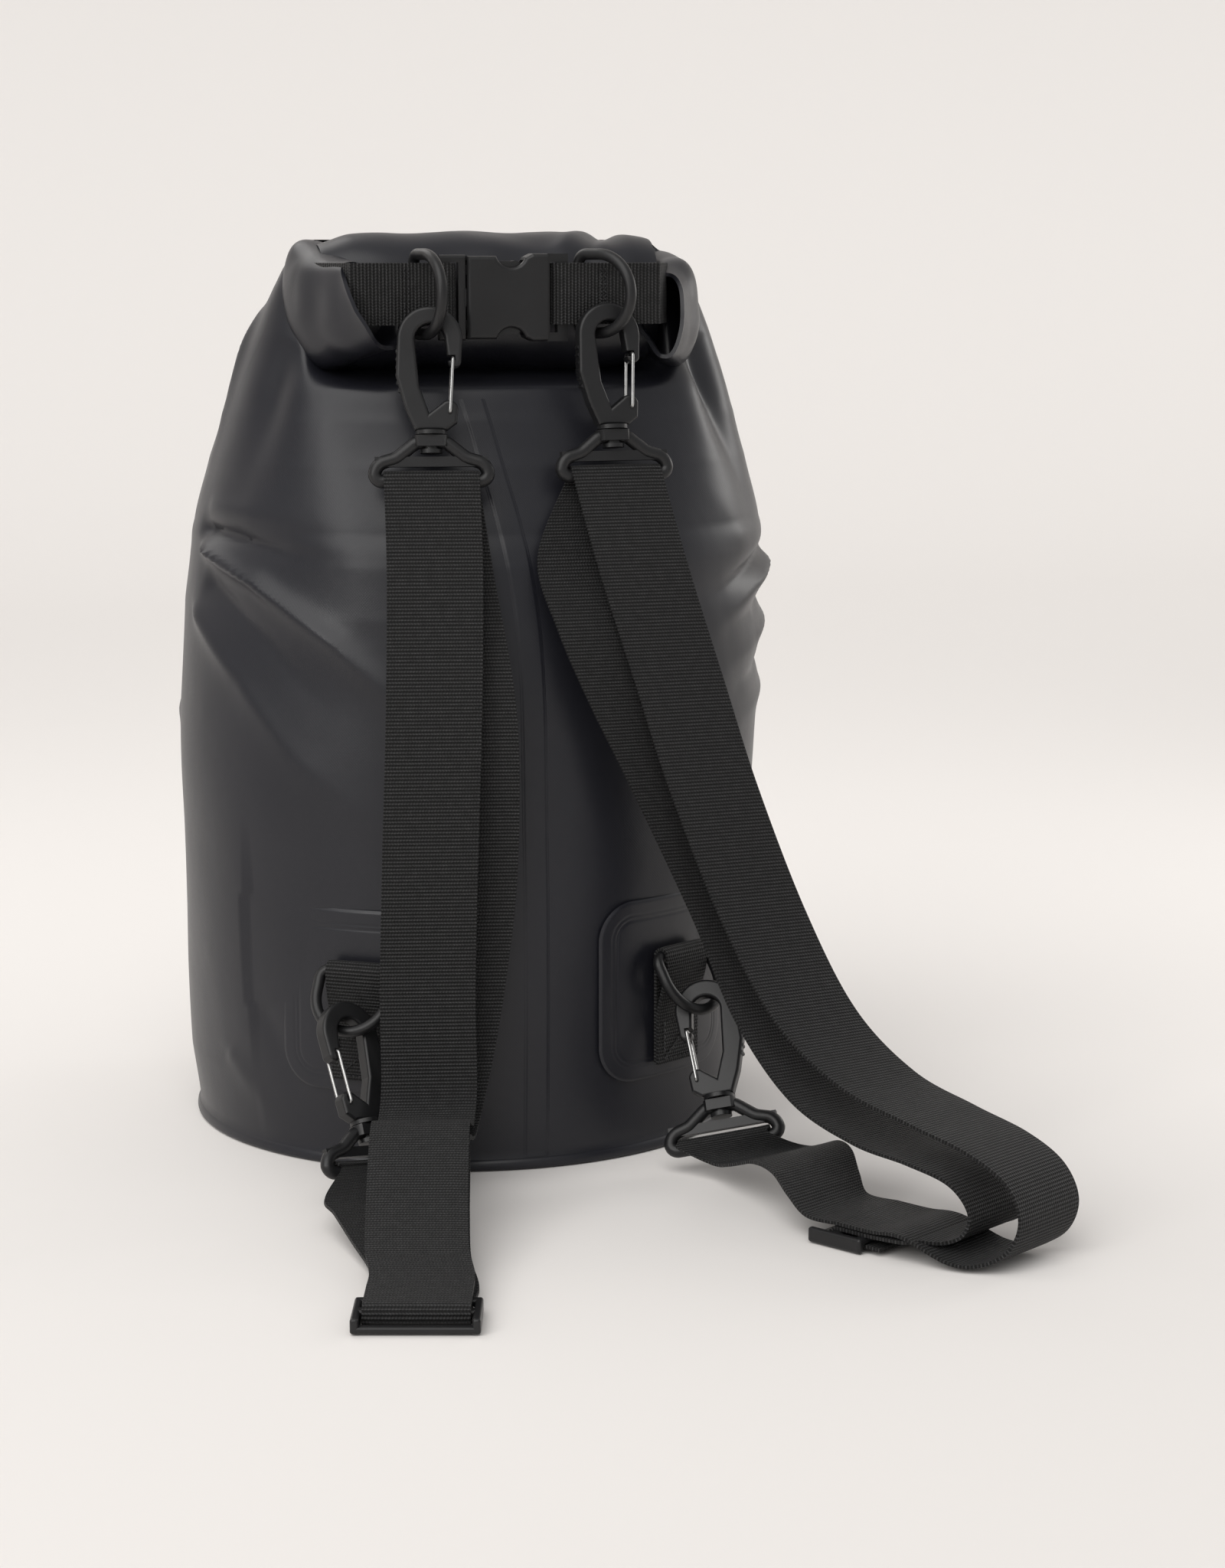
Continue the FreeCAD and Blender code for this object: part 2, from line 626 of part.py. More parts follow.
def barStations(hook, front):
    """The webbing over the frame's bar, front to back, in the world."""
    r = S["frameRod"] / 2 + S["strapGap"] + S["strapThickness"] / 2
    found = []
    for i in range(7):
        angle = math.radians(180 - 30 * i)
        y = r * math.cos(angle) * front
        z = barZ + r * math.sin(angle)
        found.append(hook.multVec(Vector(0, y, z)))
    return found


# Hand-set stations between the frame's bar and the slider: (x, y, z) and how
# far the width direction has turned from the frame's to the slider's.
frontRuns = {
    "left": [(-37, -116, 245, 0.0), (-40, -126, 190, 0.05), (-43, -130, 130, 0.1), (-45, -133, 80, 0.1),
             (-46, -139, 45, 0.1), (-50, -152, 33, 0.2), (-54, -166, 36, 0.35), (-58, -180, 40, 0.5),
             (-63, -200, 33, 0.7), (-69, -226, 21, 0.9), (-74, -250, 13, 1.0)],
    "right": [(48, -119, 245, 0.0), (60, -130, 200, 0.05), (71, -142, 158, 0.1), (86, -160, 110, 0.2),
              (100, -184, 74, 0.35), (116, -212, 54, 0.55), (132, -240, 46, 0.75), (146, -262, 40, 0.9),
              (155, -278, 32, 1.0), (158, -286, 20, 1.0), (153, -288, 9.0, 1.0), (143, -284, 3.0, 1.0),
              (133, -277, 2.8, 1.0)],
}
backRuns = {
    "left": [(-31, -108, 245, 0.0), (-25, -122, 190, 0.05), (-25, -123, 130, 0.1), (-30, -124, 85, 0.1),
             (-38, -130, 48, 0.1), (-47, -144, 27, 0.15), (-53, -164, 29, 0.35), (-58, -180, 34, 0.5),
             (-62, -198, 28, 0.7), (-68, -224, 17, 0.9), (-73, -248, 10.5, 1.0)],
    "right": [(25, -109, 250, 0.0), (30, -122, 222, 0.05), (42, -127, 192, 0.07), (57, -131, 160, 0.1),
              (79, -143, 108, 0.2), (90, -165, 70, 0.33), (103, -192, 44, 0.5), (117, -221, 34, 0.72), (129, -246, 32, 0.9),
              (139, -262, 28, 1.0), (144, -270, 19, 1.0), (141, -272, 11.5, 1.0), (134, -270, 8.5, 1.0),
              (126, -266, 8.5, 1.0)],
}
tailRuns = {
    "left": [(-73, -262, 1.6), (-71, -240, 2.6), (-73, -215, 5.0), (-76, -190, 9.0), (-78, -174, 10.5)],
    "right": [(94, -214, 14.0), (94, -200, 19.0), (92, -186, 19.0), (88, -172, 14.0), (85, -160, 11.0)],
}


def makeStraps():
    """Each strap: sewn round the slider, up to the top frame, back and round the slider."""
    width, thick = S["strapWidth"], S["strapThickness"]
    for side in ("left", "right"):
        hook, place = hooks["upper_" + side], sliderPlaces[side]
        start, end = across(hook), across(place)
        if start.dot(end) < 0:
            end = end * -1
        inner, outer = foldStations(place)

        def turnedTo(share):
            return (start * (1 - share) + end * share).normalize()

        over = barStations(hook, 1)
        front = [(Vector(x, y, z), turnedTo(t)) for x, y, z, t in frontRuns[side]]
        back = [(Vector(x, y, z), turnedTo(t)) for x, y, z, t in backRuns[side]]
        into = [(runIn(place, 30, upperLayerZ + 0.8), end), (runIn(place, 15, upperLayerZ), end)]
        below = [(runIn(place, 30, lowerLayerZ + 0.8), end), (runIn(place, 15, lowerLayerZ), end)]
        sewn = [(p, end) for p in inner] + [(runIn(place, 8, returnZ), end), (runIn(place, 20, returnZ), end)]
        if side == "left":
            fold = [(p, end) for p in outer] + [(runIn(place, 8, tailZ), end)]
        else:
            fold = [(runIn(place, 0, upperLayerZ), end)]
        stations = list(reversed(sewn)) + list(reversed(below))
        stations += list(reversed(back)) + [(p, start) for p in reversed(over)]
        stations += front + into + fold
        points = [p for p, _ in stations]
        shapeNode(side + "_strap", ribbonThrough(points, [w for _, w in stations], width, thick))
        makeTail(side, place, end)


def makeTail(side, place, end):
    """The single layer from the slider back along the ground to the lower hook."""
    hook = hooks["lower_" + side]
    width, thick = S["strapWidth"], S["strapThickness"]
    finish = across(hook)
    if finish.dot(end) < 0:
        finish = finish * -1
    joinGap = 0.05
    if side == "left":
        points = [runIn(place, 8 + joinGap, tailZ), runIn(place, 22, tailZ)]
    else:
        points = [runIn(place, -joinGap, upperLayerZ), runIn(place, -15, upperLayerZ)]
    widths = [end, end]
    run = tailRuns[side]
    for i, (x, y, z) in enumerate(run):
        share = (i + 1.0) / (len(run) + 1.0)
        points.append(Vector(x, y, z))
        widths.append((end * (1 - share) + finish * share).normalize())
    over = barStations(hook, -1)
    points += over
    widths += [finish] * len(over)
    shapeNode(side + "_strap_tail", ribbonThrough(points, widths, width, thick))


def makeSliders():
    shape = sliderShape()
    for side, place in sliderPlaces.items():
        shapeNode(side + "_slider", shape, place)


# ----------------------------------------------------------- lower patches

def makePatches():
    base = S["baseRadius"] + S["patchStandoff"]
    high, mid, wide = S["patchHeight"], S["patchCentreZ"], S["patchAngle"]
    for side, name in ((-1, "left"), (1, "right")):
        turn = side * S["patchSpread"]
        outer = Part.makeCylinder(base + S["patchThickness"], high, Vector(0, 0, mid - high / 2))
        shape = outer.cut(Part.makeCylinder(base, high, Vector(0, 0, mid - high / 2)))
        half = base * math.sin(math.radians(wide / 2))
        blank = Part.makeBox(2 * half, 80.0, high, Vector(-half, -base - 20.0, mid - high / 2))
        blank = blank.makeFillet(S["patchCorner"], [e for e in blank.Edges if e.BoundBox.YLength > 79])
        shape = shape.common(blank)
        shape.rotate(Vector(0, 0, 0), Vector(0, 0, 1), turn)
        shapeNode(name + "_patch", shape)
        makeTab(name + "_tab", side, turn)


def makeTab(label, side, turn):
    """Webbing folded over the ring's bar, both ends sewn to the patch."""
    z = rings["lower_left" if side < 0 else "lower_right"].Base.z
    r = S["ringRod"] / 2 + 0.4 + S["closureThickness"] / 2
    inner = patchFace + 0.3 + S["closureThickness"] / 2
    outer = inner + S["closureThickness"] + 0.25
    path = [(inner, z - 46.0), (inner, z - 22.0), (ringReach - r, z - 6.0)]
    for i in range(7):
        angle = math.radians(180 - 30 * i)
        path.append((ringReach + r * math.cos(angle), z + r * math.sin(angle)))
    path += [(ringReach + r - 0.6, z - 7.0), (outer + 0.6, z - 22.0), (outer, z - 30.0), (outer, z - 46.0)]
    a = math.radians(turn)
    points = [Vector(s * math.sin(a), -s * math.cos(a), height) for s, height in path]
    acrossTab = Vector(math.cos(a), math.sin(a), 0)
    shapeNode(label, ribbonThrough(points, [acrossTab] * len(points), S["tabWidth"], S["closureThickness"]))


makeShell()
makeBase()
makeSeam()
makeRoll()
makeHardware()
makeBuckle()
makeClosure()
makeStraps()
makeSliders()
makePatches()
doc.recompute()

for obj in doc.Objects:
    if "Invalid" in obj.State or "Error" in obj.State:
        raise RuntimeError("%s is %s" % (obj.Label, obj.State))
for obj in nodes:
    if obj.Shape.isNull() or not obj.Shape.isValid():
        raise RuntimeError("%s has a bad shape" % obj.Label)

os.makedirs("parts", exist_ok=True)
for obj in nodes:
    obj.Shape.exportStep("parts/%s.step" % obj.Label)
    box = obj.Shape.BoundBox
    print("%-24s solids %d volume %9.1f  x %.1f..%.1f y %.1f..%.1f z %.1f..%.1f" % (
        obj.Label, len(obj.Shape.Solids), obj.Shape.Volume,
        box.XMin, box.XMax, box.YMin, box.YMax, box.ZMin, box.ZMax))
print("nodes", len(nodes))
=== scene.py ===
import json
import math
import bpy
from mathutils import Matrix, Vector, noise
from mathutils.bvhtree import BVHTree


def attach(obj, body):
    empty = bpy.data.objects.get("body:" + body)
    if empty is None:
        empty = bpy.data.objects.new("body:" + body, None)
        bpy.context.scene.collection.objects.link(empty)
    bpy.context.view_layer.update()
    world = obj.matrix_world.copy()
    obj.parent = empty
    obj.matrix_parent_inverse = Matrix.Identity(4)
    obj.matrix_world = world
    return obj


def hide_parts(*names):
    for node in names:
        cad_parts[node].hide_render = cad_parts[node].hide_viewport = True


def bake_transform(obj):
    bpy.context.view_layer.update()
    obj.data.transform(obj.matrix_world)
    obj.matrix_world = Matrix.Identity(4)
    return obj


# Roll-top dry bag for rope with two loose shoulder straps, in metres.
# The base stands on the floor at the origin and the strap side faces -Y.

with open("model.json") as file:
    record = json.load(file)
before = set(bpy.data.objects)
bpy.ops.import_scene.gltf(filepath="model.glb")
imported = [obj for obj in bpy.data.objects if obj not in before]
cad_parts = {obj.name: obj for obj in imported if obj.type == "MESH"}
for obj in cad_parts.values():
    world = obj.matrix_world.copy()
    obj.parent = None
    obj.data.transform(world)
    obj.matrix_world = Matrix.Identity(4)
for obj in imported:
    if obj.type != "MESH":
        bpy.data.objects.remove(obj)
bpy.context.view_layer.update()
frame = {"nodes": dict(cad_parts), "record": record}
joints = {j["name"]: j for j in frame["record"]["behaviour"]["joints"]}


def mm(*values):
    return Vector([v / 1000 for v in values])


class Wire:
    def __init__(self, tree, socket):
        self.tree, self.socket = tree, socket

    def calc(self, operation, *values):
        return add(self.tree, "ShaderNodeMath", {"operation": operation}, values)

    def __add__(self, o): return self.calc("ADD", self, o)
    def __radd__(self, o): return self.calc("ADD", o, self)
    def __sub__(self, o): return self.calc("SUBTRACT", self, o)
    def __rsub__(self, o): return self.calc("SUBTRACT", o, self)
    def __mul__(self, o): return self.calc("MULTIPLY", self, o)
    def __rmul__(self, o): return self.calc("MULTIPLY", o, self)
    def __truediv__(self, o): return self.calc("DIVIDE", self, o)
    def __pow__(self, o): return self.calc("POWER", self, o)
    def sine(self): return self.calc("SINE", self)


def add(tree, kind, settings, values, output=0):
    node = tree.nodes.new(kind)
    for key, value in settings.items():
        if key == "stops":
            ramp = node.color_ramp
            while len(ramp.elements) < len(value):
                ramp.elements.new(0.5)
            for stop, (place, shade) in zip(ramp.elements, value):
                stop.position, stop.color = place, (shade, shade, shade, 1)
        else:
            setattr(node, key, value)
    pairs = values.items() if isinstance(values, dict) else enumerate(values)
    for key, value in pairs:
        if isinstance(value, Wire):
            tree.links.new(value.socket, node.inputs[key])
        else:
            node.inputs[key].default_value = value
    return Wire(tree, node.outputs[output])


def mixColour(tree, share, low, high):
    node = tree.nodes.new("ShaderNodeMix")
    node.data_type = "RGBA"
    tree.links.new(share.socket, node.inputs[0])
    for slot, value in ((6, low), (7, high)):
        if isinstance(value, Wire):
            tree.links.new(value.socket, node.inputs[slot])
        else:
            node.inputs[slot].default_value = (*value, 1)
    return Wire(tree, node.outputs[2])


def startMaterial(name, **constants):
    material = bpy.data.materials.new(name)
    material.use_nodes = True
    tree = material.node_tree
    shader = tree.nodes["Principled BSDF"]
    for key, value in constants.items():
        shader.inputs[key.replace("_", " ")].default_value = value
    return material, tree, shader


def plug(tree, value, shader, key):
    tree.links.new(value.socket, shader.inputs[key])


def bump(tree, height, distance, strength=1.0, under=None):
    values = {"Height": height, "Distance": distance, "Strength": strength}
    if under:
        values["Normal"] = under
    return add(tree, "ShaderNodeBump", {}, values)


def tarpaulin():
    look = {"dark": (0.0078, 0.0080, 0.0112), "pale": (0.0130, 0.0134, 0.0186), "rough": 0.37}
    material, tree, shader = startMaterial("coatedTarpaulin", Specular_IOR_Level=0.42)
    at = add(tree, "ShaderNodeTexCoord", {}, {}, "Object")
    cloud = add(tree, "ShaderNodeTexNoise", {}, {"Vector": at, "Scale": 14.0, "Detail": 4.0}, "Fac")
    plug(tree, mixColour(tree, cloud, look["dark"], look["pale"]), shader, "Base Color")
    fine = add(tree, "ShaderNodeTexNoise", {}, {"Vector": at, "Scale": 900.0, "Detail": 2.0}, "Fac")
    split = tree.nodes.new("ShaderNodeSeparateXYZ")
    tree.links.new(at.socket, split.inputs[0])
    x, y, z = (Wire(tree, s) for s in split.outputs)
    around = add(tree, "ShaderNodeMath", {"operation": "ARCTAN2"}, (x, y)) * 0.12
    scrim = ((around * 5200).sine() * (z * 5200).sine()) * 0.5 + 0.5     # woven scrim under the coating
    plug(tree, cloud * 0.10 + fine * 0.06 + (look["rough"] - 0.08), shader, "Roughness")
    wave = add(tree, "ShaderNodeTexNoise", {}, {"Vector": at, "Scale": 22.0, "Detail": 3.0, "Roughness": 0.4}, "Fac")
    soft = bump(tree, wave, 0.0016, 0.5)
    plug(tree, bump(tree, fine * 0.5 + scrim * 0.5, 0.00006, 0.5, soft), shader, "Normal")
    return material


def webbing():
    # dark is the webbing's own colour; pale is the painted highlight colour on the rib crests
    look = {"dark": (0.0025, 0.0025, 0.0026), "pale": (0.070, 0.070, 0.072), "picks": 1.45, "ends": 1.2}
    material, tree, shader = startMaterial("ribbedWebbing", Specular_IOR_Level=0.25, Sheen_Weight=0.03)
    at = add(tree, "ShaderNodeTexCoord", {}, {}, "UV")
    split = tree.nodes.new("ShaderNodeSeparateXYZ")
    tree.links.new(at.socket, split.inputs[0])
    along, over = Wire(tree, split.outputs[0]), Wire(tree, split.outputs[1])
    turn = 2 * math.pi * 100                                          # the map is in tenths of a metre
    rib = (along * (turn / look["picks"])).sine() * 0.5 + 0.5
    end = ((over * (turn / look["ends"])) + (along * (turn / look["picks"] / 2)).sine() * 1.4).sine() * 0.5 + 0.5
    fuzz = add(tree, "ShaderNodeTexNoise", {}, {"Vector": at, "Scale": 260.0, "Detail": 3.0}, "Fac")
    sheen_mottle = add(tree, "ShaderNodeTexNoise", {}, {"Vector": at, "Scale": 26.0, "Detail": 4.0}, "Fac")
    height = rib * 0.7 + end * 0.3
    # painted highlight: the rib crests are painted lighter as a sheen, broken up by two noises
    shine = (rib ** 2.0) * (end * 0.55 + 0.45) * (fuzz * 0.9 + sheen_mottle * 0.9 - 0.35)
    plug(tree, mixColour(tree, shine, look["dark"], look["pale"]), shader, "Base Color")
    plug(tree, 0.70 - height * 0.16, shader, "Roughness")
    plug(tree, bump(tree, height + fuzz * 0.25, 0.0005, 1.0), shader, "Normal")
    return material


def plastic():
    look = {"dark": (0.006, 0.006, 0.0065), "pale": (0.011, 0.011, 0.012)}
    material, tree, shader = startMaterial("mouldedNylon", Specular_IOR_Level=0.4)
    at = add(tree, "ShaderNodeTexCoord", {}, {}, "Object")
    grain = add(tree, "ShaderNodeTexNoise", {}, {"Vector": at, "Scale": 1400.0, "Detail": 2.0}, "Fac")
    cloud = add(tree, "ShaderNodeTexNoise", {}, {"Vector": at, "Scale": 60.0, "Detail": 3.0}, "Fac")
    plug(tree, mixColour(tree, cloud, look["dark"], look["pale"]), shader, "Base Color")
    plug(tree, grain * 0.10 + cloud * 0.08 + 0.30, shader, "Roughness")
    plug(tree, bump(tree, grain, 0.00006, 0.5), shader, "Normal")
    return material


def steel():
    material, tree, shader = startMaterial("polishedWire", Metallic=1.0)
    at = add(tree, "ShaderNodeTexCoord", {}, {}, "Object")
    scuff = add(tree, "ShaderNodeTexNoise", {}, {"Vector": at, "Scale": 500.0, "Detail": 3.0}, "Fac")
    plug(tree, mixColour(tree, scuff, (0.34, 0.34, 0.34), (0.52, 0.52, 0.51)), shader, "Base Color")
    plug(tree, scuff * 0.14 + 0.22, shader, "Roughness")
    plug(tree, bump(tree, scuff, 0.00003, 0.4), shader, "Normal")
    return material


def thread():
    material, tree, shader = startMaterial("sewingThread", Specular_IOR_Level=0.4)
    at = add(tree, "ShaderNodeTexCoord", {}, {}, "Object")
    stretch = {"Vector": at, "Scale": 900.0, "Distortion": 1.0}
    twist = add(tree, "ShaderNodeTexWave", {"wave_type": "BANDS"}, stretch, "Fac")
    plug(tree, mixColour(tree, twist, (0.010, 0.010, 0.011), (0.045, 0.045, 0.047)), shader, "Base Color")
    plug(tree, twist * 0.1 + 0.55, shader, "Roughness")
    return material


def floorPaint():
    material, tree, shader = startMaterial("paleFloor", Roughness=0.9, Specular_IOR_Level=0.1)
    at = add(tree, "ShaderNodeTexCoord", {}, {}, "Object")
    cloud = add(tree, "ShaderNodeTexNoise", {}, {"Vector": at, "Scale": 0.6, "Detail": 2.0}, "Fac")
    plug(tree, mixColour(tree, cloud, (0.800, 0.776, 0.757), (0.812, 0.788, 0.769)), shader, "Base Color")
    return material


paint = {"tarp": tarpaulin(), "web": webbing(), "nylon": plastic(), "wire": steel(), "thread": thread()}
print("materials made")


studio = {
    "focal": 4200 / 2048 * 36, "turn": -15.0, "lift": 9.5, "spot": mm(-296.9, -1356.8, 373.0),
    # name, place, size and power of each soft panel
    "panels": [("leftPanel", (-0.95, -0.75, 0.55), 0.34, 1.7), ("rightPanel", (1.00, 0.25, 0.50), 0.30, 1.1),
               ("topPanel", (-0.35, 0.55, 1.05), 0.6, 2.2)],
    "lampColour": (1.0, 0.985, 0.965), "sunPower": 1.72, "sunAim": (0.42, 0.52, -0.74),
    "skyColour": (0.92, 0.915, 0.91, 1), "skyPower": 0.53, "curveSteps": 24, "curveRadius": 1.6,
}


def hangLamp(name, lamp, spot, aim):
    body = bpy.data.objects.new(name, lamp)
    body.matrix_world = Matrix.Translation(spot) @ aim.to_track_quat("-Z", "Y").to_matrix().to_4x4()
    bpy.context.scene.collection.objects.link(body)


def makeStudio():
    view = bpy.data.cameras.new("view")
    view.sensor_fit, view.sensor_height, view.lens = "VERTICAL", 36.0, studio["focal"]
    view.clip_start, view.clip_end = 0.05, 60.0
    eye = bpy.data.objects.new("view", view)
    bpy.context.scene.collection.objects.link(eye)
    turn, lift = math.radians(studio["turn"]), math.radians(studio["lift"])
    look = Vector((-math.sin(turn) * math.cos(lift), math.cos(turn) * math.cos(lift), -math.sin(lift)))
    eye.matrix_world = Matrix.Translation(studio["spot"]) @ look.to_track_quat("-Z", "Y").to_matrix().to_4x4()
    bpy.context.scene.camera = eye
    bpy.ops.object.select_all(action="DESELECT")
    bpy.ops.mesh.primitive_plane_add(size=1.0, location=(0, 0, 0))
    floor = bpy.context.object
    floor.name = "floor"
    for vertex in floor.data.vertices:
        vertex.co = Vector((vertex.co.x * 30, -6.0 if vertex.co.y < 0 else 2.0, -0.0002))
    bpy.ops.object.mode_set(mode="EDIT")
    bpy.ops.mesh.select_all(action="DESELECT")
    bpy.ops.object.mode_set(mode="OBJECT")
    for edge in floor.data.edges:
        edge.select = all(floor.data.vertices[k].co.y > 0 for k in edge.vertices)
    bpy.ops.object.mode_set(mode="EDIT")
    bpy.context.tool_settings.mesh_select_mode = (False, True, False)
    steps = studio["curveSteps"]
    step = math.radians(90 / steps) * studio["curveRadius"]
    for i in range(steps):                                        # the floor curves up into a wall
        angle = math.radians(90 * (i + 0.5) / steps)
        move = (0, step * math.cos(angle), step * math.sin(angle))
        bpy.ops.mesh.extrude_edges_move(TRANSFORM_OT_translate={"value": move})
    bpy.ops.mesh.extrude_edges_move(TRANSFORM_OT_translate={"value": (0, 0, 8.0)})
    bpy.context.tool_settings.mesh_select_mode = (True, False, False)
    bpy.ops.object.mode_set(mode="OBJECT")
    bpy.ops.object.shade_smooth()
    floor.data.materials.append(floorPaint())
    for name, spot, size, power in studio["panels"]:
        panel = bpy.data.lights.new(name, "AREA")
        panel.shape, panel.size, panel.energy, panel.color = "SQUARE", size, power, studio["lampColour"]
        aim = Vector((0, 0, 0.18)) - Vector(spot)
        hangLamp(name, panel, spot, aim)
    sun = bpy.data.lights.new("softSun", "SUN")
    sun.energy, sun.angle, sun.color = studio["sunPower"], math.radians(60), studio["lampColour"]
    hangLamp("softSun", sun, (0, 0, 0), Vector(studio["sunAim"]))
    world = bpy.data.worlds.new("studio")
    bpy.context.scene.world = world
    world.use_nodes = True
    world.node_tree.nodes["Background"].inputs["Color"].default_value = studio["skyColour"]
    world.node_tree.nodes["Background"].inputs["Strength"].default_value = studio["skyPower"]
    bpy.context.scene.view_settings.view_transform = "Standard"


makeStudio()
print("camera, floor and lights set")


def smooth(t):
    t = min(1.0, max(0.0, t))
    return t * t * (3 - 2 * t)


def finishPiece(piece, name, material, body="bag"):
    piece.name = piece.data.name = name
    bpy.ops.object.select_all(action="DESELECT")
    piece.select_set(True)
    bpy.context.view_layer.objects.active = piece
    bpy.ops.object.transform_apply(location=True, rotation=True, scale=True)
    bpy.ops.object.shade_smooth_by_angle(angle=math.radians(50))
    piece.data.materials.clear()
    piece.data.materials.append(paint[material])
    if body:
        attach(piece, body)
    return piece


def gridPiece(across, along, place):
    # a fine grid laid over a surface: place(u, v) with both from 0 to 1
    bpy.ops.object.select_all(action="DESELECT")
    bpy.ops.mesh.primitive_grid_add(x_subdivisions=across, y_subdivisions=along, size=1.0)
    piece = bpy.context.object
    for vertex in piece.data.vertices:
        vertex.co = place(vertex.co.x + 0.5, vertex.co.y + 0.5)
    return piece


def thicken(piece, thickness, side=0.0):
    solid = piece.modifiers.new("thickness", "SOLIDIFY")
    solid.thickness, solid.offset = thickness, side
    bpy.context.view_layer.objects.active = piece
    bpy.ops.object.modifier_apply(modifier="thickness")


def closeSeam(piece):
    # joins the two edges of a rolled grid, with its faces outwards
    bpy.ops.object.mode_set(mode="EDIT")
    bpy.ops.mesh.select_all(action="SELECT")
    bpy.ops.mesh.remove_doubles(threshold=0.00002)
    bpy.ops.mesh.normals_make_consistent(inside=False)
    bpy.ops.object.mode_set(mode="OBJECT")


def facing(piece, outward):
    # turns the faces of an open sheet so that they look away from a point
    bpy.ops.object.select_all(action="DESELECT")
    piece.select_set(True)
    bpy.context.view_layer.objects.active = piece
    face = piece.data.polygons[len(piece.data.polygons) // 2]
    if face.normal.dot(face.center - outward) < 0:
        bpy.ops.object.mode_set(mode="EDIT")
        bpy.ops.mesh.select_all(action="SELECT")
        bpy.ops.mesh.flip_normals()
        bpy.ops.object.mode_set(mode="OBJECT")


def splineThrough(values, t):
    # smooth curve through the listed values, t from 0 to len - 1
    last = len(values) - 1
    i = min(int(t), last - 1)
    f = t - i
    a, b, c, d = values[max(0, i - 1)], values[i], values[i + 1], values[min(last, i + 2)]
    return 0.5 * ((2 * b) + (c - a) * f + (2 * a - 5 * b + 4 * c - d) * f * f + (3 * b - a - 3 * c + d) * f ** 3)


def evenly(points, widths, count):
    # the same curve measured off in equal lengths
    steps = (len(points) - 1) * 24
    walk = [splineThrough(points, k / 24) for k in range(steps)] + [points[-1].copy()]
    spans = [0.0]
    for a, b in zip(walk, walk[1:]):
        spans.append(spans[-1] + (b - a).length)
    found, k = [], 0
    for i in range(count):
        goal = spans[-1] * i / (count - 1)
        while k < len(spans) - 2 and spans[k + 1] < goal:
            k += 1
        f = (goal - spans[k]) / max(1e-9, spans[k + 1] - spans[k])
        t = (k + f) / 24
        found.append((walk[k].lerp(walk[k + 1], f), splineThrough(widths, min(t, len(widths) - 1.0001)).normalized()))
    return found, spans[-1]


def makeWebbing(name, points, widths, width, thickness, body, step=0.0015):
    rough = sum((b - a).length for a, b in zip(points, points[1:]))
    rows, length = evenly(points, widths, max(12, int(rough / step)))
    count, columns = len(rows), 8
    frames = []
    for i, (centre, side) in enumerate(rows):
        run = rows[min(count - 1, i + 1)][0] - rows[max(0, i - 1)][0]
        up = run.cross(side).normalized()
        frames.append((centre, side, up))

    def place(u, v):
        centre, side, up = frames[min(count - 1, round(v * (count - 1)))]
        s = 2 * u - 1
        curl = -0.0002 * max(0.0, abs(s) - 0.8) * 5
        return centre + side * (s * width / 2) + up * curl

    piece = gridPiece(columns, count - 1, place)
    layer = piece.data.uv_layers.active or piece.data.uv_layers.new(name="weave")
    for loop in piece.data.loops:
        j, i = loop.vertex_index % (columns + 1), loop.vertex_index // (columns + 1)
        layer.data[loop.index].uv = (i / (count - 1) * length * 10, j / columns * width * 10)
    thicken(piece, thickness)
    return finishPiece(piece, name, "web", body)


stitches = {"lift": 0.0005, "sunk": -0.0001, "radius": 0.00028}


def stitchRun(name, points, body, pitch=0.0027):
    # a row of thread stitches lying on a surface
    curve = bpy.data.curves.new(name, "CURVE")
    curve.dimensions, curve.bevel_depth, curve.bevel_resolution = "3D", stitches["radius"], 1
    heights = (stitches["sunk"], stitches["lift"], stitches["sunk"])
    for (a, up), (b, _) in zip(points, points[1:]):
        span = (b - a).length
        for k in range(max(1, int(span / pitch))):
            s = a.lerp(b, (k + 0.12) * pitch / span)
            e = a.lerp(b, min(1.0, (k + 0.82) * pitch / span))
            line = curve.splines.new("POLY")
            line.points.add(2)
            for dot, spot, high in zip(line.points, (s, s.lerp(e, 0.5), e), heights):
                dot.co = (*(spot + up * high), 1)
    piece = bpy.data.objects.new(name, curve)
    bpy.context.scene.collection.objects.link(piece)
    bpy.ops.object.select_all(action="DESELECT")
    piece.select_set(True)
    bpy.context.view_layer.objects.active = piece
    bpy.ops.object.convert(target="MESH")
    return finishPiece(bpy.context.object, name, "thread", body)


